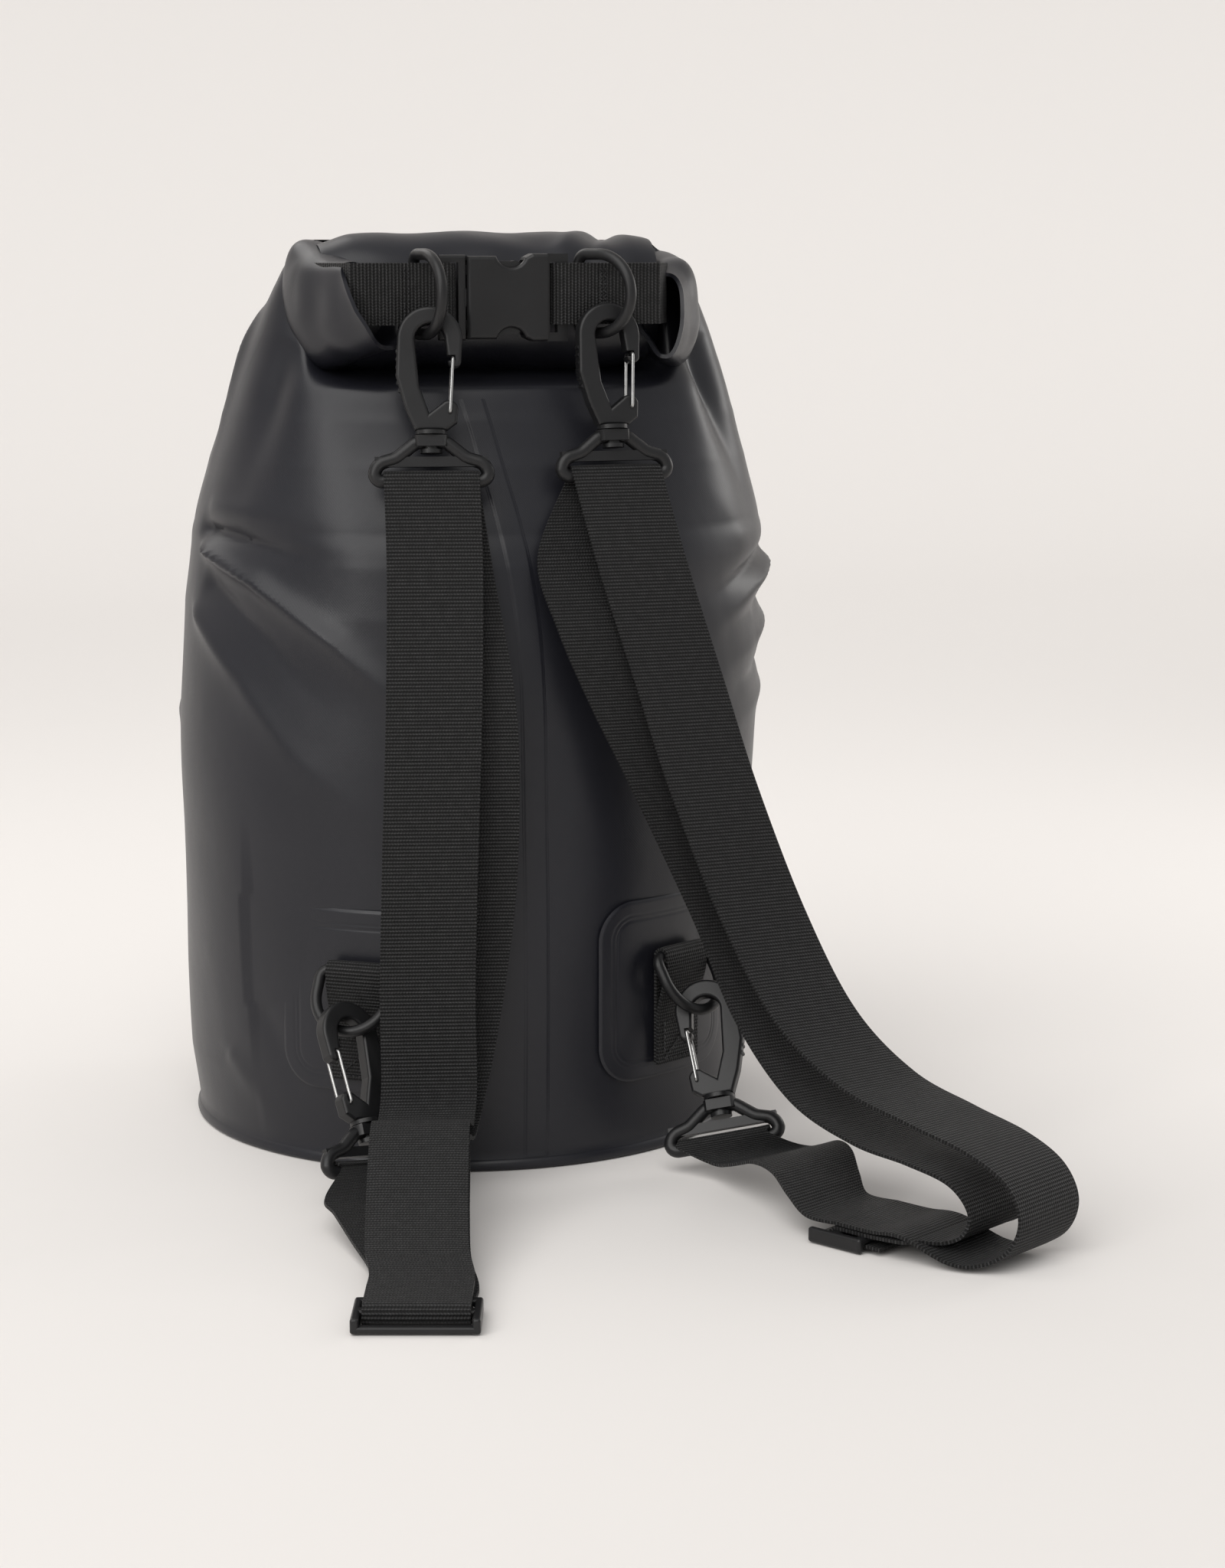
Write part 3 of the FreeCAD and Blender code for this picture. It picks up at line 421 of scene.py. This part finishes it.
shell = {
    # height, left and right half widths, front and back y, all in mm
    "rows": [(0.5, 117, 117, -117, 117), (3, 118.2, 118.2, -118, 118), (6, 117.4, 117.4, -117, 117),
             (30, 120, 120, -117.2, 116), (90, 122, 123, -117.4, 114), (130, 122.6, 125, -116.4, 114),
             (175, 123, 127, -113.5, 113), (225, 121, 129, -110, 110), (246, 118, 131, -107, 106),
             (258, 116, 129, -102, 100), (285, 108.5, 121, -91, 80), (304, 102.5, 114.5, -84, 60),
             (316, 98.5, 110, -79, 46), (328, 94.5, 106, -70, 34), (342, 89.5, 100, -62, 14),
             (356, 84, 93, -54, -3), (367, 78.5, 84, -47, -14), (375.5, 69, 72, -42, -32)],
    "around": 320, "up": 250,
    # crests and valleys pressed into the skin: points in mm, half width, height
    "folds": [
        ([(-118, -14, 258), (-104, -50, 254), (-88, -76, 250), (-76, -88, 247)], 5.6, -5.0),
        ([(-118, -22, 268), (-100, -62, 266), (-84, -84, 266)], 6.0, 4.5),
        ([(-118, -20, 252), (-100, -60, 238), (-72, -90, 214), (-40, -106, 184), (-26, -110, 168)], 6.0, 6.5),
        ([(-119, -26, 238), (-100, -66, 216), (-78, -88, 190)], 9.0, -4.0),
        ([(-120, -18, 226), (-108, -56, 198), (-88, -80, 168), (-56, -102, 142)], 9.0, 3.4),
        ([(-70, -80, 338), (-79, -84, 316), (-92, -84, 288), (-105, -76, 262)], 4.5, 9.5),
        ([(-64, -92, 326), (-74, -94, 300), (-90, -92, 272)], 6.0, -3.5),
        ([(-90, -56, 338), (-100, -54, 306), (-110, -46, 274)], 11.0, -15.0),
        ([(-86, -14, 352), (-99, -10, 315), (-113, -4, 272)], 7.0, 3.5),
        ([(72, -78, 338), (76, -88, 312), (90, -86, 284), (112, -66, 254)], 5.0, 9.5),
        ([(62, -92, 326), (64, -96, 300), (76, -96, 270)], 6.0, -3.5),
        ([(94, -54, 338), (104, -56, 306), (116, -50, 270)], 12.0, -15.0),
        ([(100, -10, 346), (112, -6, 308), (126, 0, 270)], 8.0, 4.0),
        ([(132, -10, 248), (118, -48, 240), (98, -76, 233), (84, -88, 230)], 5.0, -5.4),
        ([(132, -12, 240), (116, -52, 229), (94, -80, 217)], 5.0, 5.0),
        ([(131, -12, 226), (118, -50, 219), (100, -74, 215)], 4.0, -4.4),
        ([(130, -12, 216), (118, -50, 206), (98, -76, 199)], 5.5, 4.0),
        ([(130, -12, 200), (118, -46, 193), (104, -66, 190)], 4.5, -3.4),
        ([(130, -8, 188), (120, -42, 180), (106, -64, 175)], 6.0, 2.6),
        ([(-98, -62, 62), (-88, -74, 40), (-80, -82, 22)], 9.0, -2.2),
        ([(-110, -42, 40), (-100, -58, 24), (-92, -68, 12)], 7.0, 1.6),
        ([(100, -60, 50), (106, -50, 30), (110, -40, 14)], 9.0, -1.8),
        ([(60, 96, 250), (20, 110, 205), (-10, 113, 170)], 9.0, 3.0),
        ([(-70, 88, 255), (-50, 100, 215), (-40, 106, 190)], 8.0, -2.6),
        ([(-124, 20, 180), (-112, 50, 150), (-90, 76, 130)], 11.0, 2.2),
    ],
}


def foldPush(point, folds):
    push = 0.0
    for lines, half, high in folds:
        best, share = 1e9, 0.0
        total = len(lines) - 1
        for k in range(total):
            a, b = lines[k], lines[k + 1]
            run = b - a
            f = min(1.0, max(0.0, (point - a).dot(run) / run.length_squared))
            away = (point - a - run * f).length
            if away < best:
                best, share = away, (k + f) / total
        reach = half * (0.75 + 0.8 * share)
        if best < reach * 2.6:
            sharp = math.exp(-((best / reach) ** 1.35) * 1.5)
            push += high * sharp * (1 - 0.85 * smooth(share)) * smooth(share * 9 + 0.35)
    return push


def makeShellSkin():
    rows = [[v / 1000 for v in row] for row in shell["rows"]]
    folds = [([mm(*p) for p in lines], half / 1000, high / 1000) for lines, half, high in shell["folds"]]
    count = len(rows) - 1

    def ring(t):
        i = min(int(t), count - 1)
        f = t - i
        a, b, c, d = rows[max(0, i - 1)], rows[i], rows[i + 1], rows[min(count, i + 2)]
        if i < 3:
            return [p + (q - p) * f for p, q in zip(b, c)]
        return [0.5 * (2 * q + (r - p) * f + (2 * p - 5 * q + 4 * r - s) * f * f + (3 * q - p - 3 * r + s) * f ** 3)
                for p, q, r, s in zip(a, b, c, d)]

    heights = [r[0] for r in rows]

    def place(u, v):
        goal = heights[0] + (heights[-1] - heights[0]) * v
        i = max(k for k in range(count) if heights[k] <= goal + 1e-9)
        t = i + (goal - heights[i]) / (heights[i + 1] - heights[i])
        z, left, right, front, back = ring(min(t, count - 1e-6))
        z = goal
        angle = 2 * math.pi * u
        c, s = math.cos(angle), math.sin(angle)
        flat = smooth((z - 0.235) / 0.08)                      # the upper part flattens towards the roll
        power = 1.0 + 0.25 * flat
        px = (right if c > 0 else left) * math.copysign(abs(c) ** (1.0 / power), c)
        py = (back + front) / 2 + (back - front) / 2 * math.copysign(abs(s) ** (1.0 / power), s)
        if s < 0:                                              # the front panel dives in under the roll
            py += 0.030 * smooth((z - 0.316) / 0.010) * (1 - smooth((abs(px) - 0.056) / 0.022))
        point = Vector((px, py, z))
        out = Vector((px, py - (back + front) / 2, 0)).normalized()
        push = foldPush(point, folds)
        wave = noise.noise(Vector((px * 9, py * 9, z * 7))) * 0.0022 * smooth(z / 0.03)
        wave += noise.noise(Vector((px * 24, py * 24, z * 16))) * 0.0007 * smooth(z / 0.03)
        if py < -0.06:
            wave *= smooth((z - 0.108) / 0.04)                 # the patches hold the lower front smooth
        return point + out * (push + wave)

    piece = gridPiece(shell["around"], shell["up"], place)
    closeSeam(piece)
    facing(piece, Vector((0, 0, 0.15)))
    finishPiece(piece, "bagShell", "tarp", "bag")
    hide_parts("bag_body")


makeShellSkin()
print("shell made")


base = {"radius": 117.6, "lip": 1.3, "discRadius": 116.6, "rings": (0.96, 0.9, 0.8, 0.62, 0.36)}


def makeBase():
    bpy.ops.object.select_all(action="DESELECT")
    bpy.ops.mesh.primitive_torus_add(major_segments=160, minor_segments=12, major_radius=base["radius"] / 1000,
                                     minor_radius=base["lip"] / 1000, location=(0, 0, base["lip"] / 1000 + 0.0001))
    lip = bpy.context.object
    for vertex in lip.data.vertices:                            # a flattened welded edge, not a round bead
        if vertex.co.z > 0:
            vertex.co.z *= 2.4
    finishPiece(lip, "baseLip", "tarp", "bag")
    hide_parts("base_rim")
    bpy.ops.object.select_all(action="DESELECT")
    radius = base["discRadius"] / 1000
    bpy.ops.mesh.primitive_circle_add(vertices=160, radius=radius, fill_type="NGON", location=(0, 0, 0.0006))
    disc = bpy.context.object
    bpy.ops.object.mode_set(mode="EDIT")
    for step in base["rings"]:
        bpy.ops.mesh.inset(thickness=radius * (1 - step) * 0.35, depth=0.0)
    bpy.ops.object.mode_set(mode="OBJECT")
    for vertex in disc.data.vertices:                           # the disc lifts a little in the middle
        r = vertex.co.xy.length / radius
        vertex.co.z += 0.0012 * smooth(1 - r)
    thicken(disc, 0.0008, 0.0)
    finishPiece(disc, "baseDisc", "tarp", "bag")
    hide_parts("base_disc")


makeBase()
print("base made")


roll = {"half": 70.0, "centreY": -38.0, "centreZ": 350.0, "deep": 27.0, "high": 28.0, "wall": 1.6}


def makeRoll():
    # the outer wrap of the roll with its top crease and its sagging lower edge; its two folded ends are made by
    # makeEar
    def wrap(u, v):
        x = (2 * u - 1)
        angle = 2 * math.pi * v
        c, s = math.cos(angle), math.sin(angle)
        swell = 1.0 - 0.10 * abs(x) ** 8
        high = roll["high"] * swell * (1.0 + 0.02 * math.sin(x * 5))
        deep = roll["deep"] * swell
        px = x * roll["half"]
        py = roll["centreY"] + deep * math.copysign(abs(c) ** 0.8, c)
        pz = roll["centreZ"] + high * math.copysign(abs(s) ** 0.75, s)
        if s > 0:
            sag = 2.0 * smooth((x + 0.1) * 1.2) - 3.0 * smooth((x - 0.72) * 6) + 1.5 * smooth((-x - 0.8) * 6)
            pz -= (s ** 2) * sag
        back = py - roll["centreY"]
        crest, valley = (px - 42 - back * 0.6) / 5.0, (px - 51 - back * 0.5) / 4.0
        pz += 1.5 * (math.exp(-(crest ** 2)) - math.exp(-(valley ** 2))) * max(0.0, s)
        point = Vector((px, py, pz))
        bend = noise.noise(point * 0.045) * 1.6 + noise.noise(point * 0.016) * 2.2
        out = Vector((0, c, s))
        point += out * bend
        return point / 1000

    piece = gridPiece(150, 96, wrap)
    closeSeam(piece)
    facing(piece, mm(0, roll["centreY"], roll["centreZ"]))
    finishPiece(piece, "rolledMouth", "tarp", "bag")
    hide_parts("roll_top")
    for side, name in ((-1, "leftEar"), (1, "rightEar")):
        makeEar(name, side)


ear = {
    # how far forward, middle x and z, half width, half height
    "left": [(-17, -58, 356, 1.5, 5), (-21, -64, 352, 9, 21), (-36, -69, 348.5, 14, 26.5), (-54, -66, 348, 13, 23),
             (-69, -60, 348.5, 11, 19), (-80, -55, 349, 9.5, 16.5)],
    "right": [(-17, 60, 356, 1.5, 5), (-21, 69, 352, 9, 20), (-38, 76, 347, 13, 25), (-56, 77, 346, 11, 22),
              (-68, 73, 345, 8, 19), (-75, 69, 344.5, 6, 17)],
    # slant of the open end, forward and sideways, as a share of the left ear's
    "slant": {"left": (1.0, 1.0), "right": (0.4, 0.3)},
}


def makeEar(name, side):
    # the folded end of the roll, bent forward and open at its tip
    label = "left" if side < 0 else "right"
    rows = [Vector(row) for row in ear[label]]
    forward, sideways = ear["slant"][label]

    def place(u, v):
        y, x, z, wide, high = splineThrough(rows, v * (len(rows) - 1))
        angle = 2 * math.pi * u
        c, s = math.cos(angle), math.sin(angle)
        px = x + wide * math.copysign(abs(c) ** 0.75, c)
        pz = z + high * math.copysign(abs(s) ** 0.85, s)
        py = y + 5.0 * s * v - 11.0 * c * side * v ** 3 * forward
        px += 7.0 * s * side * v ** 2 * sideways
        point = Vector((px, py, pz))
        dent = 5.0 * math.exp(-(((s + 0.15) / 0.35) ** 2)) * (0.5 - 0.5 * c * side) * smooth(v * 1.6)
        point.x -= dent * side
        out = Vector((c, 0, s))
        point += out * (noise.noise(point * 0.06) * 1.8)
        return point / 1000

    piece = gridPiece(72, 54, place)
    closeSeam(piece)
    thicken(piece, roll["wall"] / 1000, -1.0)
    finishPiece(piece, name, "tarp", "bag")


makeRoll()
print("roll made")


hookShape = {"barDrop": 20.0, "rod": 5.4, "gap": 0.3}
strap = {"width": 38.0, "thick": 1.3}
slider = {"thick": 2.8, "lift": 0.1, "layerGap": 0.25, "barGap": 0.3}


def hookFrame(name):
    swivel, gate = joints[name + "_hook_swivel"], joints[name + "_gate_open"]
    up, deep = Vector(swivel["axis"]), -Vector(gate["axis"])
    neck = Vector(swivel["pos_m"])
    return neck, deep.cross(up).normalized(), deep, up


def barStations(name, front):
    neck, wide, deep, up = hookFrame(name)
    r = hookShape["rod"] / 2 + hookShape["gap"] + strap["thick"] / 2
    found = []
    for i in range(7):
        angle = math.radians(180 - 30 * i)
        drop = r * math.sin(angle) - hookShape["barDrop"]
        found.append(neck + (deep * (r * math.cos(angle) * front) + up * drop) / 1000)
    return found


# heights of the webbing's layers below and above the slider's bar, where it lies on the floor
tailZ = slider["lift"] + strap["thick"] / 2
returnZ = tailZ + strap["thick"] + slider["layerGap"]
barLow = returnZ + strap["thick"] / 2 + slider["barGap"]
barHigh = barLow + slider["thick"]
lowerZ = barHigh + slider["barGap"] + strap["thick"] / 2
upperZ = lowerZ + strap["thick"] + slider["layerGap"]
sliderAt = {"left": (mm(-83.5, -296, 0), math.radians(-15)), "right": (mm(104, -238, 0), math.radians(213))}


def onSlider(side, x, y, z):
    spot, turn = sliderAt[side]
    return spot + Matrix.Rotation(turn, 3, "Z") @ mm(x, y, z)


def foldStations(side):
    # the two layers of webbing that turn round the slider's bar
    mid = (barLow + barHigh) / 2
    inner = (barHigh - barLow) / 2 + slider["barGap"] + strap["thick"] / 2
    outer = inner + strap["thick"] + slider["layerGap"]
    angles = [math.radians(90 + 30 * i) for i in range(7)]
    return [[onSlider(side, 0, -1.2 + r * math.cos(a), mid + r * math.sin(a)) for a in angles] for r in (inner, outer)]


# points of each run in mm, and how far its width has turned from the frame's to the slider's
frontRuns = {
    "left": [(-37, -116, 245, 0.0), (-40, -126, 190, 0.05), (-43, -130, 130, 0.1), (-45, -133, 80, 0.1),
             (-46, -139, 45, 0.1), (-50, -152, 33, 0.2), (-54, -166, 36, 0.35), (-58, -180, 40, 0.5),
             (-63, -200, 33, 0.7), (-69, -226, 21, 0.9), (-74, -250, 13, 1.0)],
    "right": [(48, -119, 245, 0.0), (60, -130, 200, 0.05), (71, -142, 158, 0.1), (86, -160, 110, 0.2),
              (100, -184, 74, 0.35), (116, -212, 54, 0.55), (132, -240, 46, 0.75), (146, -262, 40, 0.9),
              (155, -278, 32, 1.0), (158, -286, 20, 1.0), (153, -288, 9.0, 1.0), (143, -284, 3.0, 1.0),
              (133, -277, 2.8, 1.0)],
}
backRuns = {
    "left": [(-31, -108, 245, 0.0), (-25, -122, 190, 0.05), (-25, -123, 130, 0.1), (-30, -124, 85, 0.1),
             (-38, -130, 48, 0.1), (-47, -144, 27, 0.15), (-53, -164, 29, 0.35), (-58, -180, 34, 0.5),
             (-62, -198, 28, 0.7), (-68, -224, 17, 0.9), (-73, -248, 10.5, 1.0)],
    "right": [(25, -109, 250, 0.0), (30, -122, 222, 0.05), (42, -127, 192, 0.07), (57, -131, 160, 0.1),
              (79, -143, 108, 0.2), (90, -165, 70, 0.33), (103, -192, 44, 0.5), (117, -221, 34, 0.72),
              (129, -246, 32, 0.9), (139, -262, 28, 1.0), (144, -270, 19, 1.0), (141, -272, 11.5, 1.0),
              (134, -270, 8.5, 1.0), (126, -266, 8.5, 1.0)],
}
tailRuns = {
    "left": [(-73, -262, 1.6), (-71, -240, 2.6), (-73, -215, 5.0), (-76, -190, 9.0), (-78, -174, 10.5)],
    "right": [(94, -214, 14.0), (94, -200, 19.0), (92, -186, 19.0), (88, -172, 14.0), (85, -160, 11.0)],
}


def makeStraps():
    width, thick = strap["width"] / 1000, strap["thick"] / 1000
    for side in ("left", "right"):
        start = hookFrame("upper_" + side)[1]
        end = Matrix.Rotation(sliderAt[side][1], 3, "Z") @ Vector((1, 0, 0))
        if start.dot(end) < 0:
            end = end * -1
        inner, outer = foldStations(side)

        def turned(share):
            return (start * (1 - share) + end * share).normalized()

        over = barStations("upper_" + side, 1)
        front = [(mm(x, y, z), turned(t)) for x, y, z, t in frontRuns[side]]
        back = [(mm(x, y, z), turned(t)) for x, y, z, t in backRuns[side]]
        into = [(onSlider(side, 0, 30, upperZ + 0.8), end), (onSlider(side, 0, 15, upperZ), end)]
        below = [(onSlider(side, 0, 30, lowerZ + 0.8), end), (onSlider(side, 0, 15, lowerZ), end)]
        sewn = [(p, end) for p in inner]
        sewn += [(onSlider(side, 0, 8, returnZ), end), (onSlider(side, 0, 20, returnZ), end)]
        if side == "left":
            fold = [(p, end) for p in outer] + [(onSlider(side, 0, 8, tailZ), end)]
        else:
            fold = [(onSlider(side, 0, 0, upperZ), end)]
        stations = list(reversed(sewn)) + list(reversed(below)) + list(reversed(back))
        stations += [(p, start) for p in reversed(over)] + front + into + fold
        points, widths = [p for p, _ in stations], [w for _, w in stations]
        piece = makeWebbing(side + "Strap", points, widths, width, thick, None)
        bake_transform(piece)
        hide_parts(side + "_strap")
        makeTail(side, end, width, thick)


def makeTail(side, end, width, thick):
    finish = hookFrame("lower_" + side)[1]
    if finish.dot(end) < 0:
        finish = finish * -1
    if side == "left":
        points = [onSlider(side, 0, 8.05, tailZ), onSlider(side, 0, 22, tailZ)]
    else:
        points = [onSlider(side, 0, -0.05, upperZ), onSlider(side, 0, -15, upperZ)]
    widths = [end, end]
    run = tailRuns[side]
    for i, (x, y, z) in enumerate(run):
        share = (i + 1.0) / (len(run) + 1.0)
        points.append(mm(x, y, z))
        widths.append((end * (1 - share) + finish * share).normalized())
    over = barStations("lower_" + side, -1)
    points += over
    widths += [finish] * len(over)
    piece = makeWebbing(side + "StrapTail", points, widths, width, thick, None)
    near, far = points[2], points[-7]
    tuple(near)
    tuple(far)
    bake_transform(piece)
    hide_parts(side + "_strap_tail")


makeStraps()
print("straps made")


closure = {
    "y": -80.0, "z": 354.0, "width": 24.5, "thick": 1.3, "housing": (-16.0, 42.0), "plug": 10.5, "gap": 0.4,
    "barHalf": 2.3, "barGap": 0.4, "slack": 0.9, "edge": 79.0, "tip": 66.0,
    "blend": {"start": (-0.058, -0.08, 0.354), "end": (-0.032, -0.08, 0.354)},
}


def makeClosure():
    y, z = closure["y"], closure["z"]
    wrap = closure["barHalf"] + closure["barGap"] + closure["thick"] / 2 + closure["slack"]
    tip = closure["tip"]
    start, long = closure["housing"]
    plugEnd = start - closure["gap"] - closure["plug"]
    up = Vector((0, 0, 1))
    for name, side, bar, node in (("leftClosure", -1, plugEnd + 2.1, "left_closure_webbing"),
                                  ("rightClosure", 1, start + long - 2.1, "right_closure_webbing")):
        edge = side * closure["edge"]
        body = None if side < 0 else "bag"
        path = [(edge - side * 2.0, -tip + 20), (edge - side * 7.0, -tip + 2), (edge - side * 11.0, -tip - 8.0),
                (edge - side * 15.0, y - 2.2), (edge - side * 18.0, y - wrap), (bar + side * 8.0, y - wrap)]
        for i in range(7):
            angle = math.radians(-90 + 30 * i)
            path.append((bar - side * wrap * math.cos(angle), y + wrap * math.sin(angle)))
        path += [(bar + side * 14.0, y + wrap), (edge - side * 22.0, y + 0.6)]
        points = [mm(px, py, z) for px, py in path]
        width, thick = closure["width"] / 1000, closure["thick"] / 1000
        piece = makeWebbing(name, points, [up] * len(points), width, thick, body, step=0.0012)
        if side < 0:
            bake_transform(piece)
        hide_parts(node)
        # a bar tack closes the loop beside the ring
        face = y - wrap - closure["thick"] / 2 - 0.05
        for k, gone in enumerate((15.0, 16.6)):
            run = [(mm(bar + side * (gone + 0.8 * (i % 2)), face, z - 10.5 + 1.5 * i), Vector((0, -1, 0)))
                   for i in range(15)]
            tack = stitchRun(name + "Tack%d" % (k + 1), run, body, pitch=0.0015)
            if side < 0:
                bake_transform(tack)


makeClosure()
print("closure webbing made")


shellMesh = bpy.data.objects["bagShell"].data
skin = BVHTree.FromPolygons([v.co.copy() for v in shellMesh.vertices], [tuple(p.vertices) for p in shellMesh.polygons])


def onSkin(x, z, proud):
    # the point on the shell's front at (x, z), moved outwards
    hit, normal = skin.ray_cast(mm(x, -400, z), Vector((0, 1, 0)))[:2]
    if normal.y > 0:
        normal = -normal
    return hit + normal * (proud / 1000)


seam = {"path": [(3.0, 5), (3.5, 60), (3.5, 140), (3.0, 210), (-2.0, 255), (-9.0, 290), (-14.0, 312)],
        "width": 11.0, "thick": 0.45, "groove": 0.34}


def makeSeam():
    path = [Vector((x, z)) for x, z in seam["path"]]

    def place(u, v):
        spot = splineThrough(path, v * (len(path) - 1))
        s = (2 * u - 1)
        proud = seam["thick"] * (1 - smooth((abs(s) - 0.86) / 0.14))
        proud -= seam["groove"] * math.exp(-((abs(s) - 0.84) / 0.055) ** 2)
        return onSkin(spot.x + s * seam["width"] / 2, spot.y, proud - 0.05)

    piece = gridPiece(28, 300, place)
    facing(piece, Vector((0, 0.05, 0.15)))
    finishPiece(piece, "seamStrip", "tarp", "bag")
    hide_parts("seam_tape")


patch = {"radius": 119.4, "thick": 0.6, "high": 76.0, "midZ": 70.0, "angle": 37.0, "spread": 33.0, "corner": 16.0,
         "weld": 8.0, "groove": 0.30}


def makePatches():
    half = patch["radius"] * math.sin(math.radians(patch["angle"] / 2))
    tall = patch["high"] / 2
    for side, name, node in ((-1, "leftPatch", "left_patch"), (1, "rightPatch", "right_patch")):
        turn = side * math.radians(patch["spread"])

        def place(u, v):
            s, t = 2 * u - 1, 2 * v - 1
            # a rounded rectangle mapped from the square grid
            px, pz = s * half, t * tall
            r = patch["corner"]
            ex, ez = abs(px) - (half - r), abs(pz) - (tall - r)
            if ex > 0 and ez > 0:
                long = math.hypot(ex, ez)
                fit = max(ex, ez) / long
                px = math.copysign(half - r + ex * fit, px)
                pz = math.copysign(tall - r + ez * fit, pz)
                ex, ez = abs(px) - (half - r), abs(pz) - (tall - r)
            inside = r - math.hypot(ex, ez) if ex > 0 and ez > 0 else min(half - abs(px), tall - abs(pz))
            drop = patch["groove"] * math.exp(-(((inside - patch["weld"]) / 0.55) ** 2))
            drop += patch["groove"] * 0.7 * math.exp(-(((inside - patch["weld"] + 1.8) / 0.5) ** 2))
            edge = patch["thick"] * (1 - smooth(inside / 1.2))
            radius = patch["radius"] + patch["thick"] - drop - edge
            angle = turn + math.asin(max(-1, min(1, px / patch["radius"])))
            return mm(radius * math.sin(angle), -radius * math.cos(angle), patch["midZ"] + pz)

        piece = gridPiece(150, 150, place)
        facing(piece, Vector((0, 0, 0.07)))
        thicken(piece, patch["thick"] / 1000, -1.0)
        finishPiece(piece, name, "tarp", "bag")
        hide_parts(node)
        makeTab("left" if side < 0 else "right", turn)


tab = {"width": 25.0, "thick": 1.3, "ringRod": 4.6, "face": 120.5}


def makeTab(label, turn):
    joint = joints["lower_" + label + "_ring_swing"]
    z = joint["pos_m"][2] * 1000
    reach = math.hypot(joint["pos_m"][0], joint["pos_m"][1]) * 1000
    r = tab["ringRod"] / 2 + 0.4 + tab["thick"] / 2
    inner = tab["face"] + 0.3 + tab["thick"] / 2
    outer = inner + tab["thick"] + 0.25
    path = [(inner, z - 46.0), (inner, z - 22.0), (reach - r, z - 6.0)]
    for i in range(7):
        angle = math.radians(180 - 30 * i)
        path.append((reach + r * math.cos(angle), z + r * math.sin(angle)))
    path += [(reach + r - 0.6, z - 7.0), (outer + 0.6, z - 22.0), (outer, z - 30.0), (outer, z - 46.0)]
    points = [mm(s * math.sin(turn), -s * math.cos(turn), h) for s, h in path]
    across = Vector((math.cos(turn), math.sin(turn), 0))
    width, thick = tab["width"] / 1000, tab["thick"] / 1000
    piece = makeWebbing(label + "Tab", points, [across] * len(points), width, thick, "bag", step=0.001)
    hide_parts(label + "_tab")
    out = Vector((math.sin(turn), -math.cos(turn), 0))
    s = (outer + tab["thick"] / 2 + 0.05) / 1000
    corners = [(-9, z - 44), (9, z - 44), (9, z - 28), (-9, z - 28), (-9, z - 44)]
    loop = [(out * s + across * (a / 1000) + Vector((0, 0, h / 1000)), out) for a, h in corners]
    stitchRun(label + "TabStitches", loop, "bag")
    stitchRun(label + "TabCross", [loop[0], loop[2]], "bag")


makeSeam()
makePatches()
print("seam and patches made")


def finishMouldings():
    moulded = ("_ring", "_hook", "_frame", "_slider", "_prong", "buckle_housing", "buckle_plug", "roll_stiffener")
    for name, piece in frame["nodes"].items():
        finish = "wire" if name.endswith("_gate") else "nylon" if name.endswith(moulded) else None
        if piece and finish:
            piece.data.materials.clear()
            piece.data.materials.append(paint[finish])


finishMouldings()
print("moulded parts finished")
